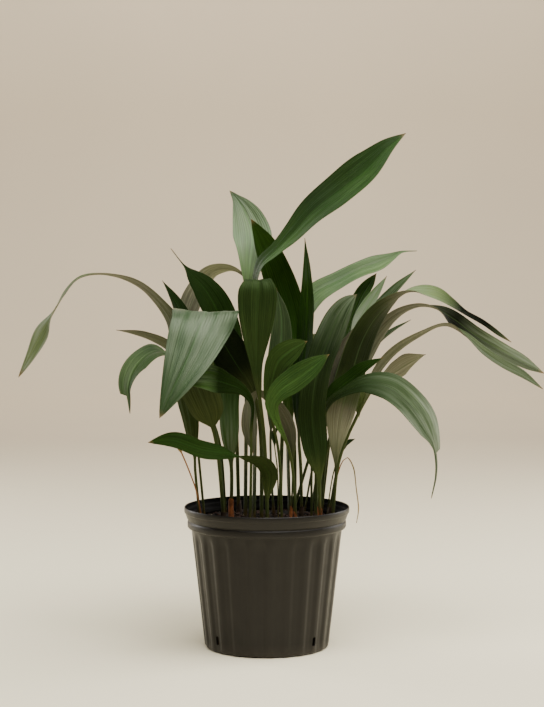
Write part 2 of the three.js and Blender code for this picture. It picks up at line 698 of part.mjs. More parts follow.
// A smooth run through the values, at a place counted in steps from the first of them.
function smoothRun(values, steps) {
  const i = Math.min(Math.floor(steps), values.length - 2);
  const t = steps - i;
  const before = values[Math.max(i - 1, 0)];
  const after = values[Math.min(i + 2, values.length - 1)];
  const low = values[i];
  const high = values[i + 1];
  const slopeLow = (high - before) / 2;
  const slopeHigh = (after - low) / 2;
  return low + slopeLow * t + (3 * (high - low) - 2 * slopeLow - slopeHigh) * t * t
    + (2 * (low - high) + slopeLow + slopeHigh) * t * t * t;
}

// The blade's width at u along it, where it is given point by point.
function widthBetweenPoints(leaf, line, u) {
  const distance = lerp(line.bladeStart, line.length, u);
  let i = 1;
  while (i < line.bladeKnots.length - 1 && line.bladeKnots[i] < distance) {
    i += 1;
  }
  const [a, b] = [line.bladeKnots[i - 1], line.bladeKnots[i]];
  return smoothRun(leaf.widths, i - 1 + THREE.MathUtils.clamp((distance - a) / (b - a), 0, 1));
}

function bladeHalfWidths(leaf, line, u) {
  const neck = lerp(stalkRadius(leaf), TIP_HALF_WIDTH, Math.min(u * 2, 1));
  const full = leaf.widths
    ? widthBetweenPoints(leaf, line, u)
    : leaf.wide * bladeShape(u, leaf.widest);
  const half = Math.max(neck, full / 2);
  if (!leaf.tear || u <= leaf.tear.from) {
    return [half, half];
  }
  if (u < leaf.tear.to) {
    const gone = (u - leaf.tear.from) / (leaf.tear.to - leaf.tear.from);
    const narrow = lerp(half, leaf.tear.keep, gone);
    return leaf.tear.side < 0 ? [narrow, half] : [half, narrow];
  }
  const strip = lerp(leaf.tear.keep, TIP_HALF_WIDTH, (u - leaf.tear.to) / (1 - leaf.tear.to));
  return [strip, strip];
}

// Six corners: the first three on the upper face, the last three on the under face.
function stalkRing(at, radius) {
  const side = at.face.clone().cross(at.along).negate();
  return STALK_CORNERS.map((angle) => at.place.clone()
    .addScaledVector(side, radius * Math.cos(radians(angle)))
    .addScaledVector(at.face, radius * Math.sin(radians(angle))));
}

// Ten corners: five across the upper face, then five back across the under face. The base is
// thick like the stalk, and the edges of the open blade rise and wave a little.
function bladeRing(leaf, line, u) {
  const at = sampleAt(line, lerp(line.bladeStart, line.length, u));
  const side = at.face.clone().cross(at.along).negate();
  const [left, right] = bladeHalfWidths(leaf, line, u);
  const base = Math.max(0, 1 - u / BASE_SHARE) ** 2;
  const thick = lerp(BLADE_THICKNESS, 1.5 * stalkRadius(leaf), base);
  const point = (v, under) => {
    const half = v < 0 ? left : right;
    const wave = EDGE_WAVE * Math.min(half / WAVY_HALF_WIDTH, 1) * Math.sin(9 * u + (v < 0 ? 0 : 2.4));
    const rise = (leaf.cup * half + wave) * v * v * (1 - base);
    const keel = v === 0 ? KEEL * (1 - u) * (1 - base) : 0;
    const lift = under ? rise - thick / 2 - keel : rise + thick / 2;
    return at.place.clone().addScaledVector(side, half * v).addScaledVector(at.face, lift);
  };
  return [
    ...BLADE_ACROSS.map((v) => point(v, false)),
    ...[...BLADE_ACROSS].reverse().map((v) => point(v, true)),
  ];
}

// The faces between two rings of a leaf, whose second half runs back under its first. The faces
// underneath are cut along the same diagonals as those above them, so that a twisted blade keeps
// its thickness.
function leafCorners(low, high) {
  const corners = [];
  for (let j = 0; j < low.length; j += 1) {
    const k = (j + 1) % low.length;
    if (j < low.length / 2) {
      addPoints(corners, low[j], low[k], high[k], low[j], high[k], high[j]);
    } else {
      addPoints(corners, low[j], low[k], high[j], low[k], high[k], high[j]);
    }
  }
  return corners;
}

// The stalk's six corners spread to the blade's ten: each long side gets one more point.
function collarCorners(stalk, blade) {
  const corners = [];
  for (let face = 0; face < 2; face += 1) {
    const s = stalk.slice(3 * face, 3 * face + 3);
    const b = blade.slice(5 * face, 5 * face + 5);
    addPoints(corners, s[0], b[1], b[0]);
    addPoints(corners, s[0], s[1], b[1]);
    addPoints(corners, s[1], b[2], b[1]);
    addPoints(corners, s[1], b[3], b[2]);
    addPoints(corners, s[1], s[2], b[3]);
    addPoints(corners, s[2], b[4], b[3]);
    const nextStalk = stalk[(3 * face + 3) % 6];
    const nextBlade = blade[(5 * face + 5) % 10];
    addPoints(corners, s[2], nextStalk, nextBlade);
    addPoints(corners, s[2], nextBlade, b[4]);
  }
  return corners;
}

// A flat end across a ring whose second half runs back under its first.
function endCorners(ring, atTip) {
  const corners = [];
  const half = ring.length / 2;
  for (let j = 0; j + 1 < half; j += 1) {
    const a = ring[j];
    const b = ring[j + 1];
    const c = ring[ring.length - 2 - j];
    const d = ring[ring.length - 1 - j];
    const quad = atTip ? [a, b, c, a, c, d] : [a, c, b, a, d, c];
    addPoints(corners, ...quad);
  }
  return corners;
}

function stalkStations(line) {
  return [0, COLLAR_LENGTH, ...stationDistances(line, COLLAR_LENGTH, line.bladeStart, STALK_STEP)];
}

function makeLeaf(leaf) {
  const line = leafLine(leaf);
  const radius = stalkRadius(leaf);
  const stalk = stalkStations(line).map((distance) => stalkRing(sampleAt(line, distance), radius));
  const bladeLength = line.length - line.bladeStart;
  const spots = stationDistances(line, line.bladeStart, line.length, BLADE_STEP)
    .map((distance) => (distance - line.bladeStart) / bladeLength);
  if (leaf.tear) {
    const { from, to } = leaf.tear;
    const clear = spots.filter((u) => Math.min(Math.abs(u - from), Math.abs(u - to)) > TEAR_CLEAR);
    spots.splice(0, spots.length, ...clear, from, to - TEAR_CLEAR / 8, to);
    spots.sort((a, b) => a - b);
  }
  const blade = spots.map((u) => bladeRing(leaf, line, u));
  const corners = [...endCorners(stalk[0], false)];
  for (let i = 0; i + 1 < stalk.length; i += 1) {
    corners.push(...leafCorners(stalk[i], stalk[i + 1]));
  }
  corners.push(...collarCorners(stalk[stalk.length - 1], blade[0]));
  for (let i = 0; i + 1 < blade.length; i += 1) {
    corners.push(...leafCorners(blade[i], blade[i + 1]));
  }
  corners.push(...endCorners(blade[blade.length - 1], true));
  return geometryFromCorners(corners);
}

// The stalk's lowest stretch, grown by the gap, which is cut out of the soil.
function stalkHole(leaf) {
  const line = leafLine(leaf);
  const radius = (stalkRadius(leaf) + GAP) / Math.cos(radians(30));
  const low = sampleAt(line, 0);
  const high = sampleAt(line, COLLAR_LENGTH);
  const straight = high.place.clone().sub(low.place).normalize();
  low.place.addScaledVector(straight, -GAP);
  const rings = [stalkRing(low, radius), stalkRing(high, radius)];
  return geometryFromCorners([
    ...endCorners(rings[0], false), ...ringCorners(rings[0], rings[1]), ...endCorners(rings[1], true),
  ]);
}

function addMesh(group, name, geometry, look) {
  const mesh = new THREE.Mesh(geometry, new THREE.MeshStandardMaterial({ metalness: 0, ...look }));
  mesh.name = name;
  group.add(mesh);
}

const plant = new THREE.Group();
addMesh(plant, "pot", makePot(), { color: 0x3a3733, roughness: 0.55 });
addMesh(plant, "soil", makeSoil(Object.values(LEAVES)), { color: 0x33241c, roughness: 0.95 });
for (const [name, leaf] of Object.entries(LEAVES)) {
  addMesh(plant, name, makeLeaf(leaf), LEAF_TONES[leaf.tone]);
}

export default plant;
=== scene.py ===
import bisect
import math
import random

import bmesh
import bpy
from mathutils import Euler, Matrix, Vector


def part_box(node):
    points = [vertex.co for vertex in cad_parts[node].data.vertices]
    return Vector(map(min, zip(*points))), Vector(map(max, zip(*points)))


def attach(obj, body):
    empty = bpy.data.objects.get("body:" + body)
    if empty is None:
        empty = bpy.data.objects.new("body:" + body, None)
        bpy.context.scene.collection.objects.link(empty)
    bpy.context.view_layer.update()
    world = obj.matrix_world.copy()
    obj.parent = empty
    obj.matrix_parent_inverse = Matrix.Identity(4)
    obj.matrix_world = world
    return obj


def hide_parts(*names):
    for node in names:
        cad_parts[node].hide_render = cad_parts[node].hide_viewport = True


bl_info = {
    "name": "Potted cast iron plant",
    "version": (1, 0, 0),
    "blender": (4, 5, 0),
    "location": "View3D > Sidebar > Plant",
    "description": "A cast iron plant in a fluted nursery pot, on a plain studio floor",
    "category": "Add Mesh",
}

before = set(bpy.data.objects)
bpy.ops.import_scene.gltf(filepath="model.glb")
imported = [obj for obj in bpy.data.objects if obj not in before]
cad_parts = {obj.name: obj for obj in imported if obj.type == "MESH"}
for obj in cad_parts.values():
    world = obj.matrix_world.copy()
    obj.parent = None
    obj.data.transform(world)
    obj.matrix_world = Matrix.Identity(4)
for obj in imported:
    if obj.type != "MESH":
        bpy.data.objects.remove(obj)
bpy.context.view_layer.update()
POT_LOW, POT_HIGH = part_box("pot")
MM = 0.001

# Pot, in millimetres, with its slots' angles in degrees: its outside goes from the foot to the
# lip, as radii and heights.
POT_SIDES = 384
POT_OUTSIDE = [
    (91.5, 0), (93.6, 0.9), (95.0, 2.2), (95.9, 4.0), (97.0, 14.0),
    (115.0, 173.0), (115.6, 180.0), (115.9, 183.0), (120.4, 183.8), (122.0, 186.0),
    (122.0, 193.6), (120.7, 194.9), (120.7, 196.2), (122.4, 197.6), (124.9, 205.0), (125.3, 206.8),
    (126.6, 207.6), (127.0, 208.8), (127.0, 214.8), (126.2, 216.0),
]
WALL_RING_STEP = 6
FOOT_WIDTH = 5
FOOT_RAISE = 2
FIRST_RIB_ANGLE = math.radians(2.5)
RIB_HALF_ANGLE = math.radians(1.0)
FLANK_ANGLE = math.radians(4.6)
FLUTE_LOW = 14
FLUTE_TOP = 178
FLUTES_END = 182
FLUTE_HEAD = 0.8
FOOT_SHARE = 0.25
EDGE_ROUNDING = 0.6
SLOT_ANGLES = (41, 139, 219, 317)
SLOT_SIZE = (14, 6, 13.5)
SLOT_HEIGHT = 19.75
SLOT_RADIUS = 97
SLOT_ROUNDING = 2

# Soil, in millimetres: its skirt from the edge of its top down to its floor.
SOIL_SIDES = 120
SOIL_SKIRT = [(119.4, 190.5), (119.4, 188.2), (110.5, 186.2), (110.5, 173), (92.5, 14), (89.5, 4.6)]
SOIL_LEVEL = 193.5
SOIL_RINGS = 36
SOIL_RISING_RINGS = 6
SOIL_TOP_FROM = 190
SOIL_EDGE_FROM = 96
SOIL_EDGE_WIDTH = 20
SOIL_EDGE_DROP = 2.2

# Leaves, in millimetres: EYE is where the leaves' points are seen from, and a share is a part
# of the blade's length or width. The last stations are counted back from the tip.
EYE = Vector((8, -2600, 579))
ROOT_HEIGHT = 174
STALK_SHARE = 0.052
THINNEST_STALK = 1.1
THICKEST_STALK = 3
BASE_SHARE = 0.14
TIP_HALF_WIDTH = 0.8
WAVY_HALF_WIDTH = 20
KEEL = 1.1
MIDRIB_SHARE = 0.17
MIDRIB_GROOVE = 0.7
STALK_GROOVE = 0.35
COLLAR_LENGTH = 30
END_SHARE = 0.12
TIP_ROUNDING = 7
LAST_STATIONS = (2.2, 0.8, 0)
SPINE_STEPS = 24
STALK_STEP = 9
BLADE_STEP = 4.6
ACROSS_HALF = (0.06, 0.17, 0.29, 0.41, 0.53, 0.65, 0.77, 0.88, 0.96, 1)
STREAKS_APART = 0.37
LEAF_MARKS = ("underside", "blade", "tip", "rust", "tint", "upper_value", "under_value", "bloom")

# root: where the stalk stands in the soil. blade: which point of the path the blade starts at.
# wide: the blade's full width. widest: how far along the blade it is widest, from 0 to 1.
# widths: the full width at each point of the blade instead. cup: how far its edges rise, as a
# share of its half width. tone: the finish that it has.
# tear: where the torn part of the outline begins and ends, the half width that is left, and
# the side that narrows first.
# path: across, up, depth and turn of each point. turn is the angle in degrees, about the leaf's
# own line, from the viewer's side to the upper face, or a direction the upper face looks in.
LEAVES = {
    "leaf_crown": {
        "root": [-20, 12], "blade": 2, "wide": 62, "cup": 0.2, "tone": "sheen",
        "widths": [8, 28, 26, 36, 52, 60, 56, 32, 2],
        "path": [
            [-18, 380, 16, -40], [-20, 480, 18, -50], [-20, 548, 16, -60], [-8, 587, 12, -65],
            [13, 608, 8, -48], [38, 633, 2, -40], [72, 669, -8, -36], [115, 703, -20, -34],
            [155, 735, -32, -38], [184, 765, -42, -46], [212, 787, -50, -55],
        ],
    },
    "leaf_pale_upright": {
        "root": [-34, 46], "blade": 1, "wide": 60, "cup": 0.12, "tone": "pale",
        "widths": [7, 34, 62, 52, 30, 12, 2],
        "path": [
            [-31, 400, 48, 15], [-29, 548, 50, 15], [-26, 585, 56, 15], [-22, 626, 76, 12],
            [-28, 654, 94, 10], [-39, 678, 110, 8], [-48, 690, 118, 8], [-57, 700, 124, 5],
        ],
    },
    "leaf_dark_back": {
        "root": [44, 38], "blade": 1, "wide": 52, "cup": 0.14, "tone": "dark",
        "widths": [7, 26, 46, 52, 48, 32, 2],
        "path": [
            [42, 318, 38, -10], [37, 352, 42, -10], [36, 395, 44, -10], [43, 464, 46, -10],
            [32, 525, 48, -10], [16, 576, 46, -15], [-4, 622, 44, -18], [-24, 657, 44, -25],
        ],
    },
    "leaf_narrow_upright": {
        "root": [54, 14], "blade": 1, "wide": 52, "widest": 0.45, "cup": 0.12, "tone": "dark",
        "path": [
            [52, 275, 14, -58], [49, 325, 16, -58], [52, 400, 18, -60], [60, 465, 18, -60],
            [63, 520, 18, -58], [63, 575, 20, -62], [58, 628, 22, -70],
        ],
    },
    "leaf_folded_crest": {
        "root": [2, -28], "blade": 1, "wide": 60, "cup": 0.06, "tone": "mid",
        "widths": [8, 20, 42, 57, 55, 38, 30, 4],
        "path": [
            [-4, 318, -34, 0], [-12, 392, -45, 0], [-16, 437, -51, 0], [-16, 479, -55, 0],
            [-15, 522, -57, 0], [-14, 551, -57, 0], [-14, 564, -47, [0, -0.3, 0.95]],
            [-14, 550, -32, [0, 0.8, 0.6]], [-12, 500, -20, [0, 1, 0.2]],
        ],
    },
    "leaf_front_left": {
        "root": [-8, -6], "blade": 1, "wide": 84, "cup": 0.04, "tone": "sheen",
        "widths": [18, 54, 56, 96, 87, 71, 46, 24, 2],
        "path": [
            [-10, 333, -8, 180], [-20, 390, -13, 180], [-50, 440, -28, 176], [-80, 490, -44, 174],
            [-90, 515, -76, [0, 0, 1]], [-104, 487, -112, 0], [-120, 448, -134, 0],
            [-138, 408, -152, 0], [-152, 379, -162, 0], [-165, 351, -168, 0],
        ],
    },
    "leaf_olive_arch": {
        "root": [-26, 60], "blade": 2, "wide": 40, "widest": 0.6, "cup": 0.12, "tone": "olive",
        "path": [
            [-23, 379, 66, 170], [-23, 502, 72, 150], [-28, 560, 78, 110], [-53, 580, 84, 108],
            [-82, 577, 92, 125], [-105, 550, 98, 145], [-121, 512, 102, 158], [-130, 475, 104, 165],
        ],
    },
    "leaf_right_pale": {
        "root": [36, 34], "blade": 1, "wide": 54, "cup": 0.1, "tone": "pale",
        "widths": [7, 44, 54, 43, 39, 37, 21, 8, 2],
        "path": [
            [32, 333, 48, -50], [34, 400, 60, -50], [46, 490, 70, -50], [72, 539, 76, -50],
            [112, 563, 86, -48], [143, 579, 92, -48], [170, 589, 97, -50], [190, 598, 102, -55],
            [206, 606, 105, -66], [230, 608, 110, -78],
        ],
    },
    "leaf_upper_left": {
        "root": [-56, 4], "blade": 1, "wide": 54, "cup": 0.12, "tone": "dark",
        "widths": [7, 26, 37, 55, 54, 44, 27, 7, 2],
        "path": [
            [-54, 262, 4, 20], [-55, 284, 4, 20], [-57, 318, 4, 20], [-59, 385, 6, 25],
            [-60, 450, 10, 30], [-74, 512, 14, 32], [-95, 550, 18, 32], [-113, 570, 21, 38],
            [-127, 586, 24, 66], [-147, 612, 28, 74],
        ],
    },
    "leaf_small_left": {
        "root": [-66, 34], "blade": 2, "wide": 32, "widest": 0.5, "cup": 0.12, "tone": "dark",
        "path": [
            [-72, 290, 42, 30], [-84, 348, 50, 40], [-100, 420, 56, 50], [-118, 475, 62, 50],
            [-134, 520, 66, 50], [-148, 545, 70, 50], [-160, 563, 74, 60],
        ],
    },
    "leaf_long_left": {
        "root": [-64, -6], "blade": 1, "wide": 58, "cup": 0.1, "tone": "olive",
        "widths": [7, 44, 60, 58, 50, 46, 38, 32, 27, 26, 24, 28, 17, 2],
        "path": [
            [-76, 305, -24, 165], [-83, 338, -28, 165], [-88, 354, -30, 162], [-99, 382, -32, 160],
            [-132, 462, -22, 138], [-151, 510, -8, 115], [-191, 552, 2, 107], [-232, 569, 14, 98],
            [-263, 572, 22, 93], [-289, 565, 28, 84], [-308, 544, 34, 76], [-325, 516, 40, 82],
            [-345, 480, 44, 25], [-362, 447, 46, 20], [-381, 414, 48, 20],
        ],
    },
    "leaf_left_olive": {
        "root": [-95, 26], "blade": 1, "wide": 40, "widest": 0.5, "cup": 0.1, "tone": "olive",
        "path": [
            [-104, 285, 36, 125], [-107, 315, 42, 122], [-124, 405, 56, 120], [-148, 458, 70, 118],
            [-179, 475, 84, 118], [-206, 483, 94, 115], [-231, 487, 102, 108],
        ],
    },
    "leaf_left_drooping": {
        "root": [-100, -8], "blade": 1, "wide": 42, "cup": 0.1, "tone": "mid",
        "widths": [7, 20, 34, 40, 42, 44, 44, 38, 20, 3],
        "tear": {"from": 0.76, "to": 0.9, "keep": 5, "side": -1},
        "path": [
            [-110, 270, -4, 150], [-111, 296, -2, 150], [-114, 320, 0, 150], [-121, 365, 8, 145],
            [-137, 418, 18, 125], [-158, 453, 16, 92], [-181, 450, -6, 58], [-203, 427, -28, 40],
            [-212, 398, -46, 38], [-211, 375, -50, 38], [-210, 358, -52, 38],
        ],
    },
    "leaf_right_drooping": {
        "root": [74, -30], "blade": 1, "wide": 58, "cup": 0.08, "tone": "sheen",
        "widths": [7, 12, 16, 32, 54, 58, 52, 30, 12, 4, 2],
        "tear": {"from": 0.69, "to": 0.78, "keep": 2.5, "side": 1},
        "path": [
            [78, 302, -32, -40], [85, 350, -34, -40], [98, 378, -38, -40], [120, 392, -42, -40],
            [150, 404, -48, -42], [187, 400, -56, -42], [216, 379, -64, -40], [239, 350, -72, -38],
            [254, 318, -78, -35], [260, 290, -80, -32], [260, 262, -82, -30], [253, 227, -84, -25],
        ],
    },
    "leaf_right_shade": {
        "root": [68, -12], "blade": 1, "wide": 36, "widest": 0.55, "cup": 0.1, "tone": "dark",
        "path": [
            [72, 318, -14, -45], [84, 362, -12, -45], [104, 392, -12, -48], [128, 412, -12, -52],
            [154, 432, -18, -60], [179, 445, -18, -75],
        ],
    },
    "leaf_right_low": {
        "root": [92, 20], "blade": 3, "wide": 40, "widest": 0.55, "cup": 0.1, "tone": "olive",
        "path": [
            [115, 300, 26, -140], [138, 352, 32, -140], [150, 376, 36, -140], [166, 400, 40, -140],
            [192, 420, 46, -138], [216, 436, 52, -136], [244, 450, 60, -120],
        ],
    },
    "leaf_right_arch": {
        "root": [100, -10], "blade": 2, "wide": 44, "cup": 0.1, "tone": "olive",
        "widths": [6, 36, 44, 44, 40, 30, 26, 24, 18, 2],
        "path": [
            [110, 280, -8, -120], [127, 330, -4, -120], [150, 380, 0, -120], [169, 422, 6, -118],
            [196, 453, 12, -115], [234, 479, 20, -106], [273, 494, 28, -94], [303, 480, 34, -74],
            [331, 456, 38, -58], [360, 436, 42, -54], [395, 417, 44, -54], [424, 396, 46, -58],
        ],
    },
    "leaf_right_twisted": {
        "root": [98, 8], "blade": 1, "wide": 46, "cup": 0.1, "tone": "olive",
        "widths": [7, 30, 50, 54, 50, 46, 44, 42, 39, 31, 21, 12, 9, 8, 2],
        "path": [
            [106, 255, 8, -160], [107, 282, 8, -160], [109, 322, 8, -160], [115, 362, 9, -158],
            [129, 415, 14, -150], [146, 470, 22, -145], [170, 510, 30, -132], [200, 536, 38, -105],
            [220, 546, 44, -82], [240, 546, 48, -62], [262, 541, 53, -48], [283, 528, 57, -50],
            [303, 514, 60, -52], [332, 498, 66, -32], [357, 480, 70, -40], [375, 468, 72, -60],
        ],
    },
    "leaf_far_right": {
        "root": [82, 40], "blade": 2, "wide": 46, "cup": 0.1, "tone": "olive",
        "widths": [7, 40, 46, 46, 42, 36, 29, 32, 34, 27, 2],
        "path": [
            [92, 300, 44, -140], [106, 352, 50, -140], [124, 392, 58, -138], [150, 444, 66, -135],
            [170, 479, 74, -130], [196, 507, 82, -118], [227, 522, 92, -100], [256, 521, 102, -80],
            [286, 504, 114, -30], [320, 479, 124, -36], [366, 452, 138, -50], [400, 434, 148, -56],
            [426, 420, 154, -60],
        ],
    },
    "leaf_right_spear_dark": {
        "root": [84, 62], "blade": 1, "wide": 34, "cup": 0.12, "tone": "dark",
        "widths": [6, 22, 28, 34, 24, 2],
        "path": [
            [97, 318, 74, -60], [106, 385, 82, -60], [118, 456, 92, -60], [129, 500, 98, -58],
            [145, 539, 104, -57], [158, 560, 108, -57], [168, 574, 111, -60],
        ],
    },
    "leaf_right_spear_pale": {
        "root": [80, 18], "blade": 1, "wide": 44, "widest": 0.55, "cup": 0.1, "tone": "pale",
        "path": [
            [86, 310, 22, -160], [89, 335, 24, -158], [98, 390, 28, -148], [112, 440, 34, -128],
            [128, 478, 40, -96], [145, 508, 46, -68], [163, 538, 54, -50], [184, 570, 60, -40],
        ],
    },
    "leaf_right_spear_slim": {
        "root": [66, 72], "blade": 1, "wide": 34, "widest": 0.58, "cup": 0.12, "tone": "mid",
        "path": [
            [89, 333, 92, -60], [112, 405, 104, -60], [140, 468, 116, -60], [170, 518, 124, -60],
            [198, 551, 132, -60], [228, 579, 140, -65],
        ],
    },
    "leaf_front_upright": {
        "root": [80, -62], "blade": 1, "wide": 46, "cup": 0.1, "tone": "sheen",
        "widths": [10, 34, 42, 42, 44, 46, 38, 24, 2],
        "path": [
            [81, 240, -62, -18], [80, 262, -62, -18], [76, 296, -62, -18], [72, 330, -62, -18],
            [70, 365, -62, -20], [78, 422, -60, -25], [96, 475, -58, -30], [113, 513, -54, -34],
            [125, 530, -52, -36], [138, 542, -50, -40],
        ],
    },
    "leaf_bright_upper": {
        "root": [24, -42], "blade": 1, "wide": 40, "cup": 0.12, "tone": "bright",
        "widths": [5, 16, 28, 40, 38, 26, 2],
        "path": [
            [18, 300, -46, -10], [6, 360, -54, -10], [4, 386, -60, -12], [9, 413, -66, -16],
            [18, 438, -74, -22], [33, 452, -80, -26], [48, 462, -84, -32], [62, 470, -88, -40],
        ],
    },
    "leaf_bright_lower": {
        "root": [46, -50], "blade": 1, "wide": 42, "cup": 0.12, "tone": "bright",
        "widths": [5, 12, 22, 32, 40, 34, 20, 2],
        "path": [
            [38, 285, -58, -10], [30, 315, -66, -10], [15, 348, -76, -10], [8, 374, -84, -14],
            [20, 394, -90, -18], [42, 410, -96, -22], [65, 426, -102, -28], [83, 440, -106, -40],
            [96, 450, -108, -55],
        ],
    },
    "leaf_low_arch": {
        "root": [36, -10], "blade": 1, "wide": 26, "cup": 0.1, "tone": "olive",
        "widths": [6, 20, 24, 18, 12, 18, 25, 2],
        "path": [
            [40, 268, -10, 165], [40, 296, -10, 162], [35, 333, -13, 158], [21, 361, -18, 155],
            [4, 382, -24, 150], [-14, 390, -27, 142], [-26, 374, -27, 150], [-26, 337, -26, 162],
            [-20, 296, -25, 165],
        ],
    },
    "leaf_crescent": {
        "root": [-26, -50], "blade": 1, "wide": 42, "cup": 0.1, "tone": "bright",
        "widths": [5, 9, 18, 32, 44, 36, 2],
        "path": [
            [-24, 285, -54, 40], [-24, 330, -56, 40], [-23, 374, -64, 40], [-38, 395, -76, 36],
            [-62, 405, -92, 32], [-84, 411, -106, 30], [-106, 412, -118, 30], [-130, 404, -126, 30],
        ],
    },
    "leaf_low_front": {
        "root": [0, -72], "blade": 1, "wide": 34, "cup": 0.1, "tone": "dark",
        "widths": [10, 24, 28, 28, 32, 34, 30, 2],
        "path": [
            [1, 222, -74, 180], [1, 234, -74, 178], [4, 262, -80, 165], [-6, 281, -92, 142],
            [-33, 291, -108, 112], [-64, 297, -122, 68], [-102, 303, -138, 50], [-145, 317, -154, 45],
            [-183, 314, -166, 45],
        ],
    },
    "leaf_grey_middle": {
        "root": [12, 24], "blade": 1, "wide": 36, "widest": 0.55, "cup": 0.1, "tone": "pale",
        "path": [
            [6, 290, 22, 0], [6, 330, 22, 0], [14, 410, 22, 0], [22, 470, 22, -5], [22, 515, 22, -5],
            [14, 552, 24, -5],
        ],
    },
    "leaf_small_folded": {
        "root": [18, -8], "blade": 1, "wide": 12, "widest": 0.5, "cup": 0.3, "tone": "dark",
        "path": [
            [16, 275, -4, 50], [12, 308, -4, 50], [10, 330, -6, 50], [20, 340, -10, 20],
        ],
    },
    "leaf_dry_strip": {
        "root": [90, 44], "blade": 2, "wide": 6, "widest": 0.4, "cup": 0.1, "tone": "dry",
        "path": [
            [108, 262, 40, -90], [117, 286, 36, -90], [124, 291, 34, -90], [133, 277, 32, -90],
            [138, 241, 32, -80], [141, 210, 32, -60], [138, 189, 32, -60],
        ],
    },
    "leaf_dry_shoot": {
        "root": [-96, -26], "blade": 2, "wide": 6, "widest": 0.4, "cup": 0.1, "tone": "dry",
        "path": [
            [-107, 234, -28, 0], [-119, 269, -32, 0], [-131, 298, -36, 0], [-140, 316, -40, 0],
        ],
    },
    "leaf_back_tip_right": {
        "root": [56, 92], "blade": 1, "wide": 34, "widest": 0.5, "cup": 0.12, "tone": "mid",
        "path": [
            [80, 320, 112, -60], [104, 385, 132, -60], [144, 440, 152, -65], [184, 480, 170, -75],
            [221, 503, 184, -80],
        ],
    },
    "leaf_short_right": {
        "root": [92, 62], "blade": 1, "wide": 14, "widest": 0.5, "cup": 0.1, "tone": "mid",
        "path": [
            [102, 265, 62, -60], [112, 296, 62, -60], [122, 312, 62, -60], [136, 320, 62, -60],
        ],
    },
    "leaf_back_left": {
        "root": [-44, 68], "blade": 1, "wide": 56, "widest": 0.5, "cup": 0.1, "tone": "mid",
        "path": [
            [-46, 320, 76, 0], [-48, 365, 86, 0], [-54, 425, 116, [0, -0.7, 0.7]],
            [-60, 455, 164, [0, -0.2, 1]], [-66, 448, 216, [0, 0.4, 0.9]],
            [-70, 415, 262, [0, 0.8, 0.6]], [-72, 375, 290, [0, 1, 0.3]],
        ],
    },
    "leaf_back_middle": {
        "root": [20, 72], "blade": 1, "wide": 60, "widest": 0.5, "cup": 0.1, "tone": "mid",
        "path": [
            [24, 330, 82, 0], [28, 385, 96, 0], [34, 446, 128, [0, -0.7, 0.7]],
            [42, 476, 180, [0, -0.2, 1]], [52, 470, 238, [0, 0.4, 0.9]],
            [62, 436, 286, [0, 0.8, 0.6]], [68, 392, 316, [0, 1, 0.3]],
        ],
    },
    "leaf_back_low_left": {
        "root": [-64, 66], "blade": 1, "wide": 44, "widest": 0.5, "cup": 0.1, "tone": "mid",
        "path": [
            [-72, 310, 78, 20], [-82, 345, 92, 20], [-102, 392, 128, [-0.2, -0.6, 0.8]],
            [-116, 404, 172, [-0.2, 0, 1]], [-124, 384, 216, [-0.2, 0.6, 0.8]],
            [-126, 350, 246, [-0.2, 0.9, 0.4]],
        ],
    },
    "leaf_back_low_right": {
        "root": [36, 92], "blade": 1, "wide": 46, "widest": 0.5, "cup": 0.1, "tone": "mid",
        "path": [
            [70, 305, 116, -20], [88, 348, 138, -20], [108, 388, 176, [0.3, -0.6, 0.8]],
            [124, 402, 222, [0.3, 0, 1]], [136, 388, 266, [0.3, 0.6, 0.8]],
            [142, 352, 298, [0.3, 0.9, 0.4]],
        ],
    },
}

# Leaves whose stalks stand in an orange or brown papery sheath: how tall, and how orange. Bare
# stalks are a little rusty at the foot as well.
BARE_FOOT = (12, 0.25)
SHEATHS = {
    "leaf_upper_left": (34, 1), "leaf_front_upright": (30, 1), "leaf_bright_lower": (22, 0.6),
    "leaf_long_left": (16, 0.2), "leaf_folded_crest": (14, 0.1), "leaf_left_drooping": (20, 0.35),
    "leaf_right_drooping": (16, 0.25), "leaf_low_arch": (24, 0.7), "leaf_crescent": (14, 0.3),
    "leaf_right_low": (18, 0.4), "leaf_narrow_upright": (20, 0.5), "leaf_back_left": (22, 0.5),
    "leaf_back_middle": (20, 0.3), "leaf_grey_middle": (18, 0.5),
}

# The two colours that stalks are streaked with.
GREEN_STALK = ((0.030, 0.046, 0.012, 1), (0.085, 0.105, 0.034, 1))
DRY_STALK = ((0.16, 0.055, 0.014, 1), (0.34, 0.15, 0.045, 1))
RUSTY_STALK = ((0.045, 0.016, 0.007, 1), (0.17, 0.06, 0.02, 1))

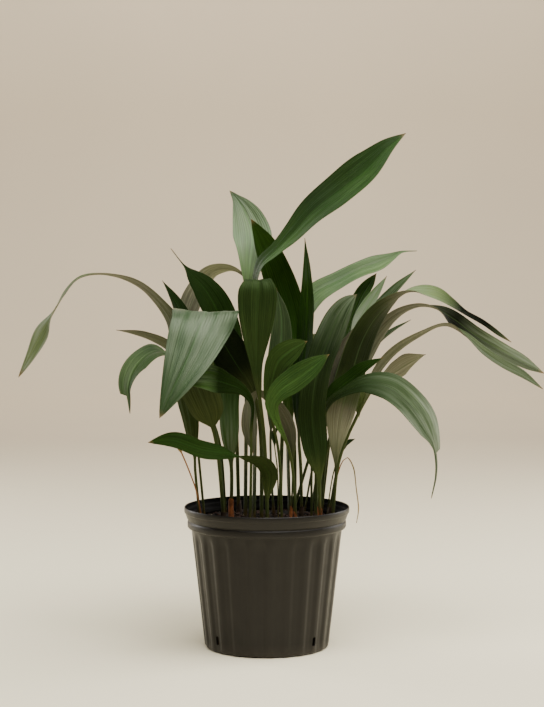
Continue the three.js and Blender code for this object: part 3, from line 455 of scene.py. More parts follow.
# How light a leaf is beside its tone along its blade, partly its own colour and partly painted light
# and shade where the blade lies lit or in shade: its upper face, its underside, and the share of
# grey painted sheen on its upper face.
LEAF_TONE_AND_PAINTED_LIGHT = {
    "leaf_crown": ((1.2, 1.65, 0.95, 1.3, 1.4), (1, 1), (0.1, 0)),
    "leaf_pale_upright": ((1.05, 0.94, 0.53), (1, 1), (0.1, 0.05)),
    "leaf_front_left": ((1.0, 0.95, 0.85), (0.12, 0.08, 1), (0, 0.2, 0.05)),
    "leaf_upper_left": ((3.0, 1.6, 0.55, 0.65), (0.8, 0.8), (0.3, 0.02, 0, 0)),
    "leaf_olive_arch": ((1, 1), (1.7, 2.2, 0.8, 0.4), (0, 0)),
    "leaf_narrow_upright": ((0.7, 0.75, 2.2, 4.2), (1, 1), (0, 0, 0, 0.06)),
    "leaf_dark_back": ((2.5, 2.2, 1.7, 1.9), (1, 1), (0, 0)),
    "leaf_long_left": ((0.9, 1.2, 2.0, 2.5), (0.12, 0.2, 0.48, 0.9, 1.6), (0, 0, 0.2, 1.0)),
    "leaf_left_olive": ((0.7, 0.7), (0.24, 0.27, 0.45), (0, 0)),
    "leaf_left_drooping": ((2.5, 2.9, 2.1), (0.8, 0.6, 1), (0, 0.36, 0.14, 0.12)),
    "leaf_right_drooping": ((0.8, 0.8, 1.3, 1.9, 2.0), (1, 1), (0, 0, 0.26, 1.0, 0.6)),
    "leaf_right_low": ((1, 1), (0.62, 0.62), (0, 0)),
    "leaf_far_right": ((0.4, 0.4, 0.4, 0.06, 1.2, 1.1), (0.32, 0.45, 0.6), (0, 0, 0, 0, 0.35, 0.3)),
    "leaf_right_arch": ((0.8, 1, 1), (0.36, 0.38, 0.5, 0.6), (0, 0, 0.1, 0.2)),
    "leaf_right_twisted": (
        (1.5, 1.5, 1.5, 2.5, 3.2, 3.2, 3.7, 3.0, 0.05, 0.03, 0.9),
        (1.0, 1.0, 0.25, 0.08, 0.08, 0.16, 0.5, 0.3, 0.06, 0.06, 0.3),
        (0, 0, 0.2, 0.35, 0, 0)),
    "leaf_front_upright": ((0.9, 0.6, 0.7, 1.4), (1, 1), (0, 0, 0.03, 0.3)),
    "leaf_crescent": ((0.9, 0.7, 0.4, 5.0), (1, 1), (0, 0, 0, 0.3)),
    "leaf_low_front": ((0.8, 0.9, 1.1), (0.6, 0.6), (0, 0)),
    "leaf_right_spear_pale": ((1.0, 1.2, 1.15), (0.5, 0.8), (0, 0.38, 0.3)),
    "leaf_right_spear_slim": ((1, 1.5, 1.8), (1, 1), (0, 0.15, 0.3)),
    "leaf_grey_middle": ((0.35, 0.45), (1, 1), (0, 0)),
    "leaf_low_arch": ((1, 1), (0.42, 0.5, 0.35), (0, 0)),
    "leaf_bright_lower": ((2.4, 1.4, 1, 1), (1, 1), (0, 0)),
    "leaf_bright_upper": ((0.75, 0.75), (1, 1), (0, 0)),
    "leaf_small_left": ((0.45, 0.55), (0.8, 0.8), (0, 0)),
    "leaf_right_spear_dark": ((1.2, 3.0), (1, 1), (0, 0)),
}

# How light each half of a folded leaf is, as painted light on one half and painted shade on the other, and
# the leaves that are finished as another tone.
LEAF_HALVES_PAINTED_LIGHT = {
    "leaf_crown": (0.68, 1.2), "leaf_pale_upright": (1.08, 0.85), "leaf_right_pale": (0.9, 1.1),
    "leaf_right_drooping": (1, 0.82), "leaf_left_drooping": (0.8, 1), "leaf_far_right": (1, 0.6),
}
FINISHED_AS = {"leaf_right_drooping": "mid", "leaf_front_upright": "mid", "leaf_crescent": "dark"}

# Stage, in metres
FLOOR_SIZE = (16, 12.6, 1)
WALL_HEIGHT = 5
SWEEP_SIZE = 1.4
SWEEP_STEPS = 32
SENSOR_WIDTH = 36
WARM_LIGHT = (1, 0.965, 0.92)
ROOM_LIGHT = (1, 0.94, 0.87, 1)
ROOM_STRENGTH = 0.06

# Each light's place, what it points at, its size and which of the stage's powers it has.
LIGHTS = {
    "top_light": ((0.55, -0.75, 2.5), (0, 0.1, 0.35), (2.8, 2.1), "top_power"),
    "left_light": ((-2.1, 1.5, 1.0), (0, 0, 0.35), (1.0, 1.8), "side_power"),
    "right_light": ((2.1, 1.3, 1.0), (0, 0, 0.35), (1.2, 1.8), "side_power"),
    "wall_light": ((0, 4.0, 3.8), (0, 6.3, 0.0), (6.0, 0.8), "wall_power"),
}


# Small tools

def deselect_all():
    if bpy.context.object and bpy.context.object.mode != "OBJECT":
        bpy.ops.object.mode_set(mode="OBJECT")
    bpy.ops.object.select_all(action="DESELECT")


def named(name):
    obj = bpy.context.object
    obj.name = name
    obj.data.name = name
    return obj


def edit(*steps):
    bpy.ops.object.mode_set(mode="EDIT")
    for step in steps:
        step()
    bpy.ops.object.mode_set(mode="OBJECT")


def choose(kind, test):
    """Select the vertices, edges or faces that pass a test, in edit mode."""
    bpy.ops.mesh.select_mode(type=kind)
    bpy.ops.mesh.select_all(action="DESELECT")
    mesh = bmesh.from_edit_mesh(bpy.context.object.data)
    for part in {"VERT": mesh.verts, "EDGE": mesh.edges, "FACE": mesh.faces}[kind]:
        part.select_set(test(part))
    mesh.select_flush_mode()
    bmesh.update_edit_mesh(bpy.context.object.data)


def finish_with(obj, kind, **settings):
    bpy.context.view_layer.objects.active = obj
    modifier = obj.modifiers.new(kind.title(), kind)
    for key, value in settings.items():
        setattr(modifier, key, value)
    bpy.ops.object.modifier_apply(modifier=modifier.name)


def smooth(obj, degrees):
    deselect_all()
    obj.select_set(True)
    bpy.context.view_layer.objects.active = obj
    bpy.ops.object.shade_smooth_by_angle(angle=math.radians(degrees))


def place_in_mesh(obj):
    obj.data.transform(obj.matrix_basis)
    obj.matrix_basis = Matrix.Identity(4)


def dress(obj, node, material):
    place_in_mesh(obj)
    obj.data.materials.clear()
    obj.data.materials.append(material)
    if node:
        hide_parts(node)
    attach(obj, "root")


def blend(low, high, share):
    return low + (high - low) * share


def ease(share):
    share = min(max(share, 0), 1)
    return share * share * (3 - 2 * share)


# Finishes

class Finish:
    """One material's nodes, around a principled shader."""

    def __init__(self, name, **values):
        self.material = bpy.data.materials.new(name)
        self.material.use_nodes = True
        self.nodes = self.material.node_tree.nodes
        self.links = self.material.node_tree.links
        self.shader = self.nodes["Principled BSDF"]
        self.set(self.shader, values)

    def set(self, node, values):
        for key, value in values.items():
            socket = node.inputs[key] if isinstance(key, int) else node.inputs[key.replace("_", " ")]
            if isinstance(value, bpy.types.NodeSocket):
                self.links.new(value, socket)
            else:
                socket.default_value = value

    def add(self, kind, out=0, settings=(), **values):
        node = self.nodes.new("ShaderNode" + kind)
        for key, value in dict(settings).items():
            setattr(node, key, value)
        self.set(node, values)
        return node.outputs[out]

    def place(self, scale=(1, 1, 1), uv=False, turn=(0, 0, 0)):
        start = self.add("UVMap", settings={"uv_map": "Skin"}) if uv else self.add("TexCoord", "Object")
        return self.add("Mapping", Vector=start, Scale=scale, Rotation=turn)

    def grain(self, where, scale, detail=4, rough=0.55):
        return self.add("TexNoise", Vector=where, Scale=scale, Detail=detail, Roughness=rough)

    def spread(self, value, low, high, to_low=0.0, to_high=1.0):
        node = self.nodes.new("ShaderNodeMapRange")
        self.set(node, {0: value, 1: low, 2: high, 3: to_low, 4: to_high})
        return node.outputs[0]

    def attribute(self, name):
        return self.add("Attribute", 2, {"attribute_name": name})

    def maths(self, kind, a, b):
        node = self.nodes.new("ShaderNodeMath")
        node.operation = kind
        self.set(node, {0: a, 1: b})
        return node.outputs[0]

    def times(self, a, b):
        return self.maths("MULTIPLY", a, b)

    def mix(self, share, a, b, kind="MIX"):
        """Two colours mixed. A mix node's colour sockets come after those for numbers and vectors."""
        node = self.nodes.new("ShaderNodeMix")
        node.data_type = "RGBA"
        node.blend_type = kind
        self.set(node, {0: share, 6: a, 7: b})
        return node.outputs[2]

    def bump(self, height, strength, distance, under=None):
        values = {"Height": height, "Strength": strength, "Distance": distance}
        if under is not None:
            values["Normal"] = under
        return self.add("Bump", **values)

    def wear(self, **looks):
        """Give the shader its looks, and hand over the finished material."""
        self.set(self.shader, looks)
        return self.material


def paint(colour):
    """A colour with its alpha."""
    return (*colour, 1)


def shade(colour, share):
    return tuple(min(c * share, 1) for c in colour[:3]) + (1,)


def plastic_finish(pot):
    finish = Finish("pot_plastic", Specular_IOR_Level=0.24)
    where = finish.place()
    cloudy = finish.grain(where, 9, 3)
    streaks = finish.grain(finish.place((60, 60, 5)), 1, 3)
    base = finish.mix(finish.spread(cloudy, 0.35, 0.7), paint(pot.colour), shade(pot.colour, 1.22))
    base = finish.mix(finish.spread(streaks, 0.4, 0.75, 0, 0.5), base, shade(pot.colour, 0.8))
    height = finish.add("SeparateXYZ", "Z", Vector=finish.add("TexCoord", "Object"))
    dust = finish.times(finish.spread(height, 0.02, 0.0, 0, 0.2), cloudy)
    base = finish.mix(dust, base, (0.16, 0.135, 0.11, 1))
    fine = finish.grain(where, 900, 2)
    rough = finish.spread(finish.grain(where, 60, 4), 0.3, 0.75, pot.roughness - 0.05, pot.roughness + 0.08)
    wavy = finish.bump(finish.grain(where, 22, 2), 0.25, 0.0012)
    return finish.wear(Base_Color=base, Roughness=rough, Normal=finish.bump(fine, 0.22, 0.0003, wavy))


def inside_painted_shade_finish():
    """The pot's inner wall, dull and nearly black: painted shade, far darker than the outside plastic."""
    finish = Finish("pot_inside", Specular_IOR_Level=0.12)
    where = finish.place()
    rings = finish.add("TexWave", 1, {"bands_direction": "Z"},
                       Vector=where, Scale=42, Distortion=0.6, Detail=1)
    base = finish.mix(finish.grain(where, 30, 4), (0.0015, 0.0014, 0.0011, 1), (0.004, 0.0037, 0.003, 1))
    return finish.wear(Base_Color=base, Roughness=finish.spread(rings, 0, 1, 0.6, 0.8),
                       Normal=finish.bump(rings, 0.4, 0.0008))


def soil_finish(soil):
    finish = Finish("soil_mix", Roughness=0.93, Specular_IOR_Level=0.2)
    where = finish.place()
    clumps = finish.grain(where, 130, 6, 0.7)
    flecks = finish.add("TexVoronoi", 1, Vector=where, Scale=260)
    base = finish.mix(finish.spread(clumps, 0.35, 0.68), shade(soil.colour, 0.35), paint(soil.colour))
    base = finish.mix(finish.spread(flecks, 0.62, 0.9, 0, 0.75), base, paint(soil.bark_colour))
    return finish.wear(Base_Color=base, Normal=finish.bump(clumps, 0.9, 0.002))


def bark_finish(name, colour, contrast):
    finish = Finish(name, Specular_IOR_Level=0.25)
    where = finish.place()
    fibres = finish.grain(finish.place((90, 700, 260), turn=(0.4, 0.3, 0.9)), 1, 5, 0.65)
    patches = finish.grain(where, 75, 2)
    dull, bright = shade(colour, 1 - contrast), shade(colour, 1 + contrast)
    base = finish.mix(finish.spread(patches, 0.35, 0.65), dull, bright)
    base = finish.mix(finish.spread(fibres, 0.42, 0.7, 0, 0.7), base, shade(colour, 0.35))
    return finish.wear(Base_Color=base, Roughness=finish.spread(fibres, 0.3, 0.7, 0.6, 0.9),
                       Normal=finish.bump(fibres, 0.8, 0.0008))


def leaf_finish(tone, colour, under, roughness, gloss, sheen_tint):
    """A ribbed, satin leaf: veins and streaks run along it, and its underside is duller. Its colours also
    carry painted light, shade and sheen from the leaf's marks.
    """
    finish = Finish("leaf_" + tone, Specular_IOR_Level=gloss, Specular_Tint=sheen_tint)
    blade = finish.attribute("blade")
    underside = finish.attribute("underside")
    streaks = finish.grain(finish.place((330, 9, 1), uv=True), 1, 5, 0.6)
    ribs = finish.add("TexWave", 1, Vector=finish.place((1, 0.02, 1), uv=True),
                      Scale=88, Distortion=1.6, Detail=1.5, Detail_Scale=30)
    wide_bands = finish.grain(finish.place((70, 3, 1), uv=True), 1, 2)
    clouds = finish.grain(finish.place(), 14, 3)

    top = finish.mix(finish.spread(streaks, 0.34, 0.68), shade(colour, 0.62), shade(colour, 1.34))
    top = finish.mix(finish.spread(wide_bands, 0.36, 0.66, 0, 0.55), top, shade(colour, 0.66))
    top = finish.mix(finish.spread(ribs, 0.15, 0.9, 0.42, 0), top, shade(colour, 0.42))
    back = finish.mix(finish.spread(streaks, 0.34, 0.68), shade(under, 0.72), shade(under, 1.26))
    back = finish.mix(finish.spread(ribs, 0.7, 1, 0, 0.3), back, shade(under, 0.62))
    # Each leaf's own tone, together with its painted light and shade, multiplies its upper and under
    # colours.
    top = finish.mix(1.0, top, finish.attribute("upper_value"), "MULTIPLY")
    back = finish.mix(1.0, back, finish.attribute("under_value"), "MULTIPLY")
    # Undersides that are painted dark as shade are tinted greener as well.
    greener_in_painted_shade = finish.spread(finish.attribute("under_value"), 0.1, 0.42, 1, 0)
    back = finish.mix(greener_in_painted_shade, back, (0.72, 1.08, 0.42, 1), "MULTIPLY")
    top = finish.mix(finish.spread(clouds, 0.35, 0.72, 0, 0.6), top, (1.5, 1.25, 1.1, 1), "MULTIPLY")
    warmer = finish.times(finish.attribute("tint"), 0.4)
    top = finish.mix(warmer, top, (1.5, 1.15, 0.9, 1), "MULTIPLY")
    back = finish.mix(finish.spread(clouds, 0.35, 0.72, 0, 0.5), back, (0.8, 0.86, 0.72, 1), "MULTIPLY")
    # Painted sheen: grey-green mixed onto the upper face in lengthwise patches, as far as the leaf's painted
    # sheen mark reaches, for light reflected off lit parts of the blade.
    bands = finish.grain(finish.place((75, 7, 1), uv=True), 1, 3)
    patches = finish.times(finish.spread(streaks, 0.3, 0.7, 0.65, 1.3),
                           finish.spread(bands, 0.38, 0.62, 0.25, 1.7))
    bloom = finish.times(finish.attribute("bloom"), patches)
    top = finish.mix(bloom, top, (0.23, 0.27, 0.19, 1))
    base = finish.mix(underside, top, back)
    across = finish.maths("ABSOLUTE", finish.add("SeparateXYZ", "X", Vector=finish.place(uv=True)), 0)
    midrib = finish.times(finish.spread(across, 0.0016, 0.0003, 0, 0.32), blade)
    base = finish.mix(midrib, base, shade(colour, 1.9))

    streaked = finish.spread(streaks, 0.35, 0.7)
    stalk = finish.mix(streaked, *(DRY_STALK if tone.startswith("dry") else GREEN_STALK))
    base = finish.mix(blade, stalk, base)
    rust = finish.mix(streaked, *RUSTY_STALK)
    base = finish.mix(finish.attribute("rust"), base, rust)
    worn = finish.times(finish.attribute("tip"), finish.spread(clouds, 0.3, 0.6, 0.35, 1))
    base = finish.mix(worn, base, (0.20, 0.13, 0.055, 1))

    rough = finish.spread(streaks, 0.3, 0.7, roughness - 0.05, roughness + 0.09)
    ribbed = finish.bump(ribs, 0.55, 0.0004)
    pleated = finish.bump(wide_bands, 0.6, 0.004, ribbed)
    return finish.wear(Base_Color=base, Roughness=rough, Normal=finish.bump(streaks, 0.35, 0.0008, pleated))


def backdrop_finish(stage):
    finish = Finish("backdrop_paper", Roughness=0.95, Specular_IOR_Level=0.1)
    where = finish.place()
    soft = finish.grain(where, 1.3, 2)
    base = finish.mix(finish.spread(soft, 0.3, 0.7), paint(stage.colour), shade(stage.colour, 0.97))
    depth = finish.add("SeparateXYZ", "Y", Vector=where)
    # Painted light: the floor is painted up to 1.4 times lighter towards the front, fading out between 0.6
    # and 3.2 m back, for the stronger light that falls on the floor than on the wall.
    base = finish.mix(finish.spread(depth, 3.2, 0.6), base, shade(stage.colour, 1.40))
    return finish.wear(Base_Color=base, Normal=finish.bump(finish.grain(where, 400, 2), 0.03, 0.0005))


# Pot

def pot_profile(pot):
    """The outside as radii and heights in metres, with close rings up the fluted wall."""
    tall = pot.height / (POT_HIGH.z - POT_LOW.z)
    wide = pot.rim_radius / POT_HIGH.x
    profile = []
    for (r0, z0), (r1, z1) in zip(POT_OUTSIDE, POT_OUTSIDE[1:]):
        steps = max(1, round((z1 - z0) / WALL_RING_STEP))
        for i in range(steps):
            profile.append((blend(r0, r1, i / steps), blend(z0, z1, i / steps)))
    profile.append(POT_OUTSIDE[-1])
    return [(r * wide * MM, z * tall * MM) for r, z in profile]


def flute_weight(place, pot):
    """How far a point of the wall is sunk into a flute, from 0 on a rib to 1 in a channel."""
    radius = math.hypot(place.x, place.y) / MM
    height = place.z / MM
    pitch = 2 * math.pi / pot.flutes
    turn = (math.atan2(place.y, place.x) - FIRST_RIB_ANGLE) % pitch - pitch / 2
    half = (pitch / 2 - RIB_HALF_ANGLE) * radius
    over = max(height - (FLUTE_TOP - half * FLUTE_HEAD), 0) / FLUTE_HEAD
    depth = half - math.hypot(turn * radius, over)
    foot = blend(FOOT_SHARE, 1, ease(height / FLUTE_LOW))
    return ease(depth / (FLANK_ANGLE * radius)) * foot


def spin_up(profile):
    """Draw the outline up from the open edge of a disc, ring by ring."""
    choose("EDGE", lambda edge: edge.is_boundary)
    for (r0, z0), (r1, z1) in zip(profile, profile[1:]):
        bpy.ops.mesh.extrude_region_move(TRANSFORM_OT_translate={"value": (0, 0, z1 - z0)})
        bpy.ops.transform.resize(value=(r1 / r0, r1 / r0, 1), center_override=(0, 0, z1))


def cut_slots(obj):
    deselect_all()
    for angle in SLOT_ANGLES:
        bpy.ops.mesh.primitive_cube_add(size=1)
        bpy.ops.transform.resize(value=[side * MM for side in SLOT_SIZE], center_override=(0, 0, 0))
        bpy.ops.object.transform_apply(scale=True)
        edit(lambda: bpy.ops.mesh.bevel(offset=SLOT_ROUNDING * MM, segments=3, affect="EDGES"))
        cutter = bpy.context.object
        cutter.location = (SLOT_RADIUS * MM, 0, SLOT_HEIGHT * MM)
        place_in_mesh(cutter)
        cutter.data.transform(Matrix.Rotation(math.radians(angle), 4, "Z"))
        finish_with(obj, "BOOLEAN", object=cutter, operation="DIFFERENCE", solver="EXACT")
        bpy.data.objects.remove(cutter)
        deselect_all()


def faces_inward(face):
    """Whether a face belongs to the pot's inner wall or floor."""
    outward = Vector((face.center.x, face.center.y, 0)).normalized()
    return face.normal.dot(outward) < -0.2 or (face.normal.z > 0.8 and face.center.z < 0.01)


def make_pot(pot):
    profile = pot_profile(pot)
    deselect_all()
    bpy.ops.mesh.primitive_circle_add(vertices=POT_SIDES, radius=profile[0][0], fill_type="NGON")
    obj = named("fluted_pot")

    def shape():
        bpy.ops.mesh.inset(thickness=FOOT_WIDTH * MM)
        bpy.ops.transform.translate(value=(0, 0, FOOT_RAISE * MM))
        bpy.ops.mesh.inset(thickness=FOOT_WIDTH * MM)
        bpy.ops.mesh.poke()
        spin_up(profile)
        bpy.ops.mesh.select_all(action="SELECT")
        bpy.ops.mesh.normals_make_consistent(inside=False)
        bpy.ops.mesh.select_mode(type="EDGE")
        bpy.ops.mesh.select_all(action="DESELECT")
        bpy.ops.mesh.edges_select_sharp(sharpness=math.radians(28))
        bpy.ops.mesh.bevel(offset=EDGE_ROUNDING * MM, segments=2, affect="EDGES")

    edit(shape)
    group = obj.vertex_groups.new(name="flutes")
    for vertex in obj.data.vertices:
        weight = flute_weight(vertex.co, pot)
        if weight > 0 and vertex.co.z < FLUTES_END * MM:
            group.add([vertex.index], weight, "REPLACE")
    finish_with(obj, "DISPLACE", strength=-pot.flute_depth, mid_level=0, vertex_group="flutes")
    obj.vertex_groups.clear()
    finish_with(obj, "SOLIDIFY", thickness=pot.wall, offset=-1, use_even_offset=True)
    cut_slots(obj)
    smooth(obj, 38)
    dress(obj, "pot", plastic_finish(pot))
    # The inward faces take the second material, the painted shade of the pot's inside.
    obj.data.materials.append(inside_painted_shade_finish())
    for face in obj.data.polygons:
        face.material_index = int(faces_inward(face))


# Soil

def soil_texture(size):
    texture = bpy.data.textures.new("clumps", "CLOUDS")
    texture.noise_scale = size
    texture.noise_depth = 3
    return texture


def make_soil_body(soil):
    deselect_all()
    radius = SOIL_SKIRT[0][0] * MM
    bpy.ops.mesh.primitive_circle_add(vertices=SOIL_SIDES, radius=radius, fill_type="NGON",
                                      location=(0, 0, SOIL_SKIRT[0][1] * MM))
    obj = named("soil_body")
    bpy.ops.object.transform_apply(location=True)

    def shape():
        step = radius / (SOIL_RINGS + 1)
        rise = (SOIL_LEVEL - SOIL_SKIRT[0][1]) * MM / SOIL_RISING_RINGS
        for ring in range(SOIL_RINGS):
            bpy.ops.mesh.inset(thickness=step)
            if ring < SOIL_RISING_RINGS:
                bpy.ops.transform.translate(value=(0, 0, rise))
        bpy.ops.mesh.poke()
        spin_up([(r * MM, z * MM) for r, z in SOIL_SKIRT])
        bpy.ops.mesh.edge_face_add()
        bpy.ops.mesh.poke()
        bpy.ops.mesh.select_all(action="SELECT")
        bpy.ops.mesh.normals_make_consistent(inside=False)

    edit(shape)
    group = obj.vertex_groups.new(name="top")
    chosen = [v.index for v in obj.data.vertices if v.co.z > SOIL_TOP_FROM * MM]
    group.add(chosen, 1, "REPLACE")
    for size, strength in ((0.03, 0.005), (0.008, 0.0045)):
        finish_with(obj, "DISPLACE", strength=strength, mid_level=0.5, vertex_group="top",
                    direction="Z", texture=soil_texture(size))
    obj.vertex_groups.clear()
    smooth(obj, 60)
    dress(obj, "soil", soil_finish(soil))


def chip_shape(name, seed, lengths):
    """One broken chip: a box cut finer, roughened and squashed to its lengths."""
    deselect_all()
    bpy.ops.mesh.primitive_cube_add(size=1)
    obj = named(name)

    def shape():
        bpy.ops.mesh.subdivide(number_cuts=1, smoothness=0.5)
        bpy.ops.transform.vertex_random(offset=0.22, uniform=0.4, seed=seed)
        bpy.ops.transform.resize(value=[length * MM for length in lengths], center_override=(0, 0, 0))

    edit(shape)
    return obj


def chip_shapes(name, seeds, shapes):
    return [chip_shape(f"{name}_{i}", *shape) for i, shape in enumerate(zip(seeds, shapes))]


def scatter(name, shapes, number, size_range, reach, material, seed):
    """Lay copies of the shapes over the soil, each with its own mesh, and join them."""
    chance = random.Random(seed)
    copies = []
    for i in range(number):
        source = shapes[i % len(shapes)]
        obj = source.copy()
        obj.data = source.data.copy()
        bpy.context.collection.objects.link(obj)
        radius = reach * math.sqrt(chance.random())
        angle = chance.uniform(0, 2 * math.pi)
        drop = SOIL_EDGE_DROP * ease((radius - SOIL_EDGE_FROM) / SOIL_EDGE_WIDTH)
        height = SOIL_LEVEL - drop + chance.uniform(-0.8, 2.2)
        place = Vector((radius * math.cos(angle), radius * math.sin(angle), height)) * MM
        tilt = Euler((chance.uniform(-0.5, 0.5), chance.uniform(-0.5, 0.5), chance.uniform(0, 6.3)))
        size = chance.uniform(*size_range)
        obj.data.transform(Matrix.Translation(place) @ tilt.to_matrix().to_4x4() @ Matrix.Scale(size, 4))
        copies.append(obj)
    for source in shapes:
        bpy.data.objects.remove(source)
    deselect_all()
    for obj in copies:
        obj.select_set(True)
    bpy.context.view_layer.objects.active = copies[0]
    bpy.ops.object.join()
    joined = named(name)
    smooth(joined, 35)
    dress(joined, None, material)


def make_soil_bits(soil):
    bark = chip_shapes("bark", range(3, 8),
                       [(9, 5, 2.6), (12, 4.4, 2.2), (6, 5, 3), (16, 3, 2), (7, 3.4, 3.2)])
    dark = chip_shapes("dark", range(31, 34), [(8, 6, 3), (11, 5, 2.6), (5, 4.4, 3)])
    pale = chip_shapes("grain", (51, 57), [(2.6, 2.4, 2.2), (3.4, 2.8, 2.4)])
    scatter("bark_chips", bark, soil.chips, (0.6, 1.2), 112,
            bark_finish("bark_red", soil.bark_colour, 0.35), 11)
    scatter("dark_chips", dark, soil.chips, (0.6, 1.25), 112,
            bark_finish("bark_dark", soil.colour, 0.5), 23)
    scatter("pale_grains", pale, soil.chips // 6, (0.6, 1.1), 108,
            bark_finish("grain_pale", (0.22, 0.19, 0.12), 0.25), 37)


# Leaves

def seen_point(across, up, depth):
    """A point given as it is seen against the pot's middle plane, moved to its own depth."""
    far = 1 - depth / EYE.y
    return Vector((EYE.x + (across - EYE.x) * far, depth, EYE.z + (up - EYE.z) * far))


def upper_face(turn, along):
    """The direction in which a leaf's upper face looks, square to its line."""
    if isinstance(turn, (list, tuple)):
        look = Vector(turn)
        return (look - along * look.dot(along)).normalized()
    seen = Vector((0, -1, 0))
    seen = (seen - along * seen.dot(along)).normalized()
    angle = math.radians(turn)
    return seen * math.cos(angle) + along.cross(seen) * math.sin(angle)


def spine_at(points, i, t):
    """The place and direction at t along a segment of a centripetal curve through the points."""
    a, b = points[i], points[i + 1]
    before = points[i - 1] if i else 2 * a - b
    after = points[i + 2] if i + 2 < len(points) else 2 * b - a
    d0, d1, d2 = (math.sqrt((q - p).length) for p, q in ((before, a), (a, b), (b, after)))
    leave = ((a - before) / d0 - (b - before) / (d0 + d1) + (b - a) / d1) * d1
    arrive = ((b - a) / d1 - (after - a) / (d1 + d2) + (after - b) / d2) * d1
    square = 3 * (b - a) - 2 * leave - arrive
    cube = 2 * (a - b) + leave + arrive
    place = a + leave * t + square * t ** 2 + cube * t ** 3
    return place, (leave + 2 * square * t + 3 * cube * t ** 2).normalized()


def smooth_run(knots, values, x):
    """A smooth curve through the values at their knots, read at x."""
    i = min(max(bisect.bisect_right(knots, x) - 1, 0), len(knots) - 2)

    def slope(j):
        before = max(j - 1, 0)
        after = min(j + 1, len(knots) - 1)
        if before == j or after == j:
            return (values[after] - values[before]) / (knots[after] - knots[before])
        low, high = knots[j] - knots[before], knots[after] - knots[j]
        rise, next_rise = values[j] - values[before], values[after] - values[j]
        return (rise / low * high + next_rise / high * low) / (low + high)

    wide = knots[i + 1] - knots[i]
    t = min(max((x - knots[i]) / wide, 0), 1)
    leave, arrive = slope(i) * wide, slope(i + 1) * wide
    step = values[i + 1] - values[i]
    square, cube = 3 * step - 2 * leave - arrive, leave + arrive - 2 * step
    return values[i] + leave * t + square * t ** 2 + cube * t ** 3


class LeafLine:
    """A leaf's middle line: its places, directions and upper faces by distance from the root."""

    def __init__(self, leaf):
        points = [Vector((*leaf["root"], ROOT_HEIGHT))] + [seen_point(*p[:3]) for p in leaf["path"]]
        self.places, self.alongs, self.distances = [], [], []
        knots = []
        distance = 0
        for i in range(len(points) - 1):
            for k in range(SPINE_STEPS + (i == len(points) - 2)):
                place, along = spine_at(points, i, k / SPINE_STEPS)
                if self.places:
                    distance += (place - self.places[-1]).length
                if k == 0:
                    knots.append(distance)
                self.places.append(place)
                self.alongs.append(along)
                self.distances.append(distance)
        knots.append(distance)
        self.knots = knots
        self.length = distance
        self.blade_start = knots[leaf["blade"] + 1]
        turns = [leaf["path"][0][3]] + [p[3] for p in leaf["path"]]
        spots = [min(i * SPINE_STEPS, len(self.alongs) - 1) for i in range(len(points))]
        self.faces = [upper_face(turn, self.alongs[spot]) for turn, spot in zip(turns, spots)]

    def at(self, distance):
        i = min(max(bisect.bisect_left(self.distances, distance), 1), len(self.distances) - 1)
        low, high = self.distances[i - 1], self.distances[i]
        t = min(max((distance - low) / max(high - low, 1e-9), 0), 1)
        place = self.places[i - 1].lerp(self.places[i], t)
        along = self.alongs[i - 1].lerp(self.alongs[i], t).normalized()
        face = smooth_run(self.knots, self.faces, distance)
        face = (face - along * face.dot(along)).normalized()
        return place, along, face


def stalk_radius(leaf):
    return min(max(leaf["wide"] * STALK_SHARE, THINNEST_STALK), THICKEST_STALK)


def blade_shape(u, widest):
    """The share of the full width at u, from 0 at the blade's foot to 1 at its tip."""
    if u < widest:
        return 1 - (1 - u / widest) ** 2.2
    return (1 - ((u - widest) / (1 - widest)) ** 2) ** 1.15


